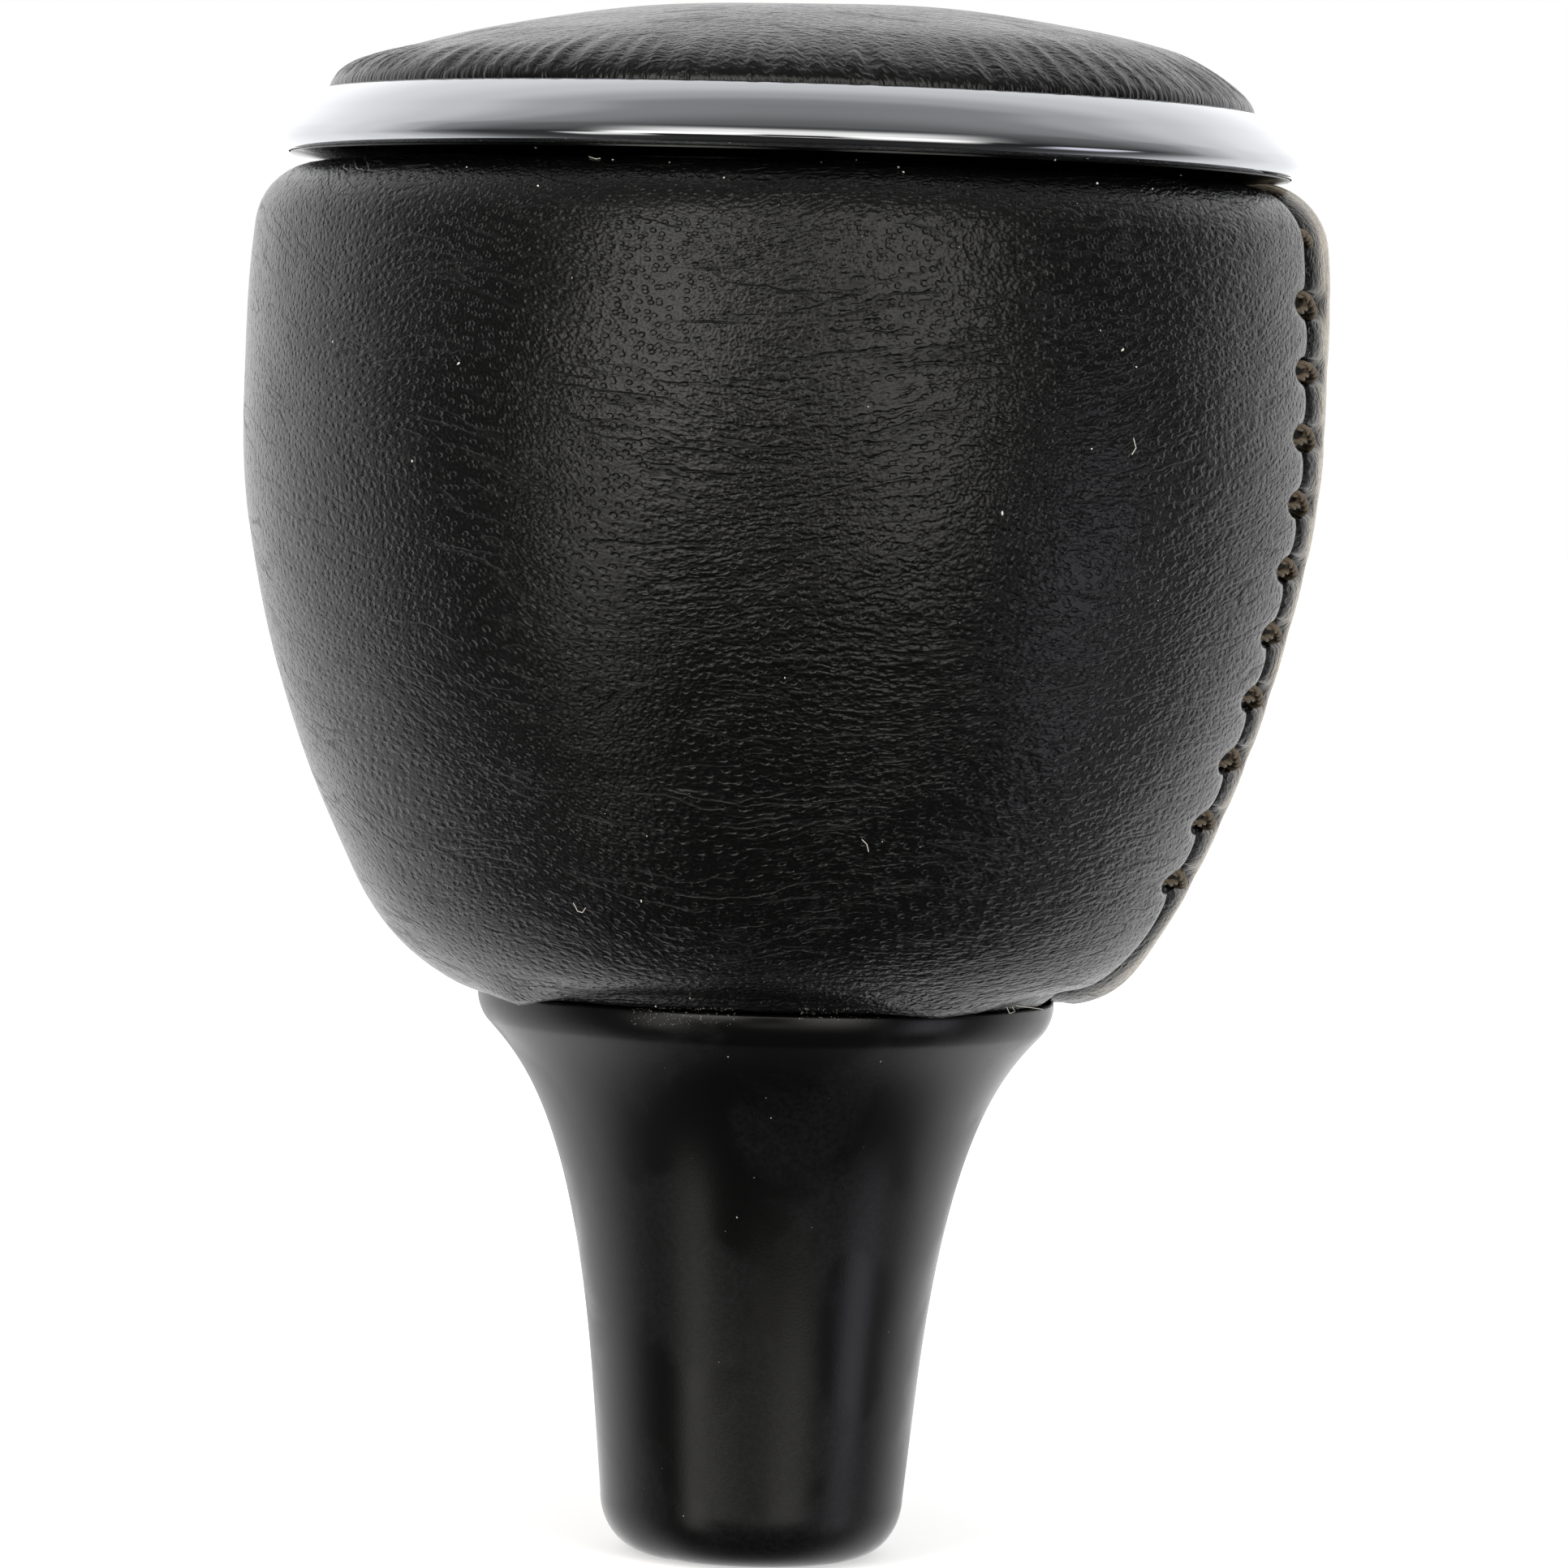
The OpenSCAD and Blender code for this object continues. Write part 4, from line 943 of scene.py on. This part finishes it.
paper_matt = add_node(paper, "ShaderNodeBsdfDiffuse", {"Color": srgb("#ececec")})
paper_sum = add_node(paper, "ShaderNodeAddShader", None,
                     {0: paper_glow.outputs[0], 1: paper_matt.outputs[0]})
paper_through = add_node(paper, "ShaderNodeBsdfTransparent")
paper_mix = add_node(paper, "ShaderNodeMixShader", None,
                     {0: paper_light.outputs["Is Glossy Ray"], 1: paper_sum.outputs[0],
                      2: paper_through.outputs[0]})
add_node(paper, "ShaderNodeOutputMaterial", None, {"Surface": paper_mix.outputs[0]})
dress(table, paper)

world = bpy.data.worlds.new("studio_room")
bpy.context.scene.world = world
world.use_nodes = True
world.cycles.sampling_method = "NONE"
world.node_tree.nodes.clear()
room_way = add_node(world, "ShaderNodeTexCoord").outputs["Generated"]
backdrop = CAMERA_TURN + math.radians(BACKDROP_TURN)
room_back = add_node(world, "ShaderNodeVectorMath",
                     {"operation": "DOT_PRODUCT", 1: (math.sin(backdrop), -math.cos(backdrop), 0.0)},
                     {0: room_way})
room_share = add_node(world, "ShaderNodeMapRange", {"From Min": -1.0},
                      {"Value": room_back.outputs["Value"]})
room_ramp = add_node(world, "ShaderNodeValToRGB", None, {"Fac": room_share.outputs[0]})
room_ramp.color_ramp.interpolation = "EASE"
for number, (back, tone) in enumerate(ROOM_TONES):
    stops = room_ramp.color_ramp.elements
    stop = stops[number] if number < 2 else stops.new(1.0)
    stop.position = (back + 1) / 2
    stop.color = (tone, tone, tone, 1)
room_height = add_node(world, "ShaderNodeSeparateXYZ", None, {"Vector": room_way}).outputs["Z"]
room_low = add_node(world, "ShaderNodeMapRange",
                    {"interpolation_type": "SMOOTHSTEP", "From Min": 0.1, "From Max": 0.7,
                     "To Min": 0.25}, {"Value": room_height})
room_side = add_node(world, "ShaderNodeMapRange",
                     {"interpolation_type": "SMOOTHSTEP", "From Min": -0.2, "From Max": 0.3},
                     {"Value": room_back.outputs["Value"]})
room_floor = add_node(world, "ShaderNodeMix", {"data_type": "FLOAT", 3: 1.0},
                      {0: room_side.outputs[0], 2: room_low.outputs[0]})
room_ceiling = add_node(world, "ShaderNodeMapRange",
                        {"interpolation_type": "SMOOTHSTEP", "From Min": 0.35, "From Max": 0.7,
                         "To Min": 1.0, "To Max": 0.84}, {"Value": room_height})
room_under = add_node(world, "ShaderNodeMapRange",
                      {"interpolation_type": "SMOOTHSTEP", "From Min": -0.97, "From Max": -0.8,
                       "To Min": 0.35}, {"Value": room_height})
room_ends = add_node(world, "ShaderNodeMath", {"operation": "MULTIPLY"},
                     {0: room_under.outputs[0], 1: room_ceiling.outputs[0]})
room_dim = add_node(world, "ShaderNodeMath", {"operation": "MULTIPLY"},
                    {0: room_floor.outputs[0], 1: room_ends.outputs[0]})
room_plain = add_node(world, "ShaderNodeVectorMath", {"operation": "MULTIPLY"},
                      {0: room_ramp.outputs["Color"], 1: room_dim.outputs[0]})
room_level = add_node(world, "ShaderNodeVectorMath", {"operation": "MULTIPLY", 1: (1, 1, 0)},
                      {0: room_way})
room_flat = add_node(world, "ShaderNodeVectorMath", {"operation": "NORMALIZE"},
                     {0: room_level.outputs[0]})
room_shiny = room_plain
for turn, spread, heights, colour in GLOWS:
    middle = CAMERA_TURN + math.radians(turn)
    facing = add_node(world, "ShaderNodeVectorMath",
                      {"operation": "DOT_PRODUCT", 1: (math.sin(middle), -math.cos(middle), 0.0)},
                      {0: room_flat.outputs[0]})
    strength = add_node(world, "ShaderNodeMapRange",
                        {"interpolation_type": "SMOOTHSTEP",
                         "From Min": math.cos(math.radians(spread * 1.6)),
                         "From Max": math.cos(math.radians(spread * 0.3))},
                        {"Value": facing.outputs["Value"]})
    low, full, fade, high = (math.sin(math.radians(height)) for height in heights)
    for start, end, first in ((low, full, 0.0), (fade, high, 1.0)):
        window = add_node(world, "ShaderNodeMapRange",
                          {"interpolation_type": "SMOOTHSTEP", "From Min": start, "From Max": end,
                           "To Min": first, "To Max": 1 - first}, {"Value": room_height})
        strength = add_node(world, "ShaderNodeMath", {"operation": "MULTIPLY"},
                            {0: strength.outputs[0], 1: window.outputs[0]})
    room_shiny = add_node(world, "ShaderNodeVectorMath", {"operation": "MULTIPLY_ADD", 1: colour},
                          {0: strength.outputs[0], 2: room_shiny.outputs[0]})
room_light = add_node(world, "ShaderNodeLightPath")
room_glossy = add_node(world, "ShaderNodeMix",
                       {"data_type": "RGBA", 6: (AMBIENT, AMBIENT, AMBIENT, 1)},
                       {0: room_light.outputs["Is Glossy Ray"], 7: room_shiny.outputs[0]})
room_seen = add_node(world, "ShaderNodeMath", {"operation": "MAXIMUM"},
                     {0: room_light.outputs["Is Camera Ray"],
                      1: room_light.outputs["Is Transmission Ray"]})
room_colour = add_node(world, "ShaderNodeMix", {"data_type": "RGBA", 7: (1, 1, 1, 1)},
                       {0: room_seen.outputs[0], 6: room_glossy.outputs[2]})
room_sky = add_node(world, "ShaderNodeBackground", {"Strength": 1.0}, {"Color": room_colour.outputs[2]})
add_node(world, "ShaderNodeOutputWorld", None, {"Surface": room_sky.outputs[0]})


def soft_box(name, turn, rise, away, width, tall, watts, colour):
    """A soft box that faces the knob from a turn and a rise in degrees, with its sizes in metres."""
    lamp = bpy.data.lights.new(name, "AREA")
    lamp.shape = "RECTANGLE"
    lamp.size, lamp.size_y = width, tall
    lamp.energy = watts
    lamp.color = srgb(colour)[:3]
    piece = bpy.data.objects.new(name, lamp)
    bpy.context.scene.collection.objects.link(piece)
    facing, above = CAMERA_TURN + math.radians(turn), math.radians(rise)
    way = Vector((math.sin(facing) * math.cos(above), -math.cos(facing) * math.cos(above),
                  math.sin(above)))
    piece.location = Vector((0, 0, LAMP_AIM_Z * MM)) + way * away
    piece.rotation_mode = "QUATERNION"
    piece.rotation_quaternion = way.to_track_quat("Z", "Y")
    piece.visible_glossy = False


soft_box("left_soft_box", turn=-34, rise=20, away=0.7, width=0.3, tall=0.6, watts=2.0, colour="#fff7ea")
soft_box("right_soft_box", turn=31, rise=20, away=0.7, width=0.3, tall=0.6, watts=1.6, colour="#fdfbf7")
soft_box("top_soft_box", turn=0, rise=70, away=0.8, width=0.6, tall=0.6, watts=2.6, colour="#ffffff")

camera_data = bpy.data.cameras.new("photo_camera")
camera_data.sensor_width = SENSOR
camera_data.lens = LENS
camera_data.clip_start = 0.01
camera = bpy.data.objects.new("photo_camera", camera_data)
bpy.context.scene.collection.objects.link(camera)
camera.matrix_world = camera_pose
bpy.context.scene.camera = camera
bpy.context.scene.view_settings.view_transform = "Standard"
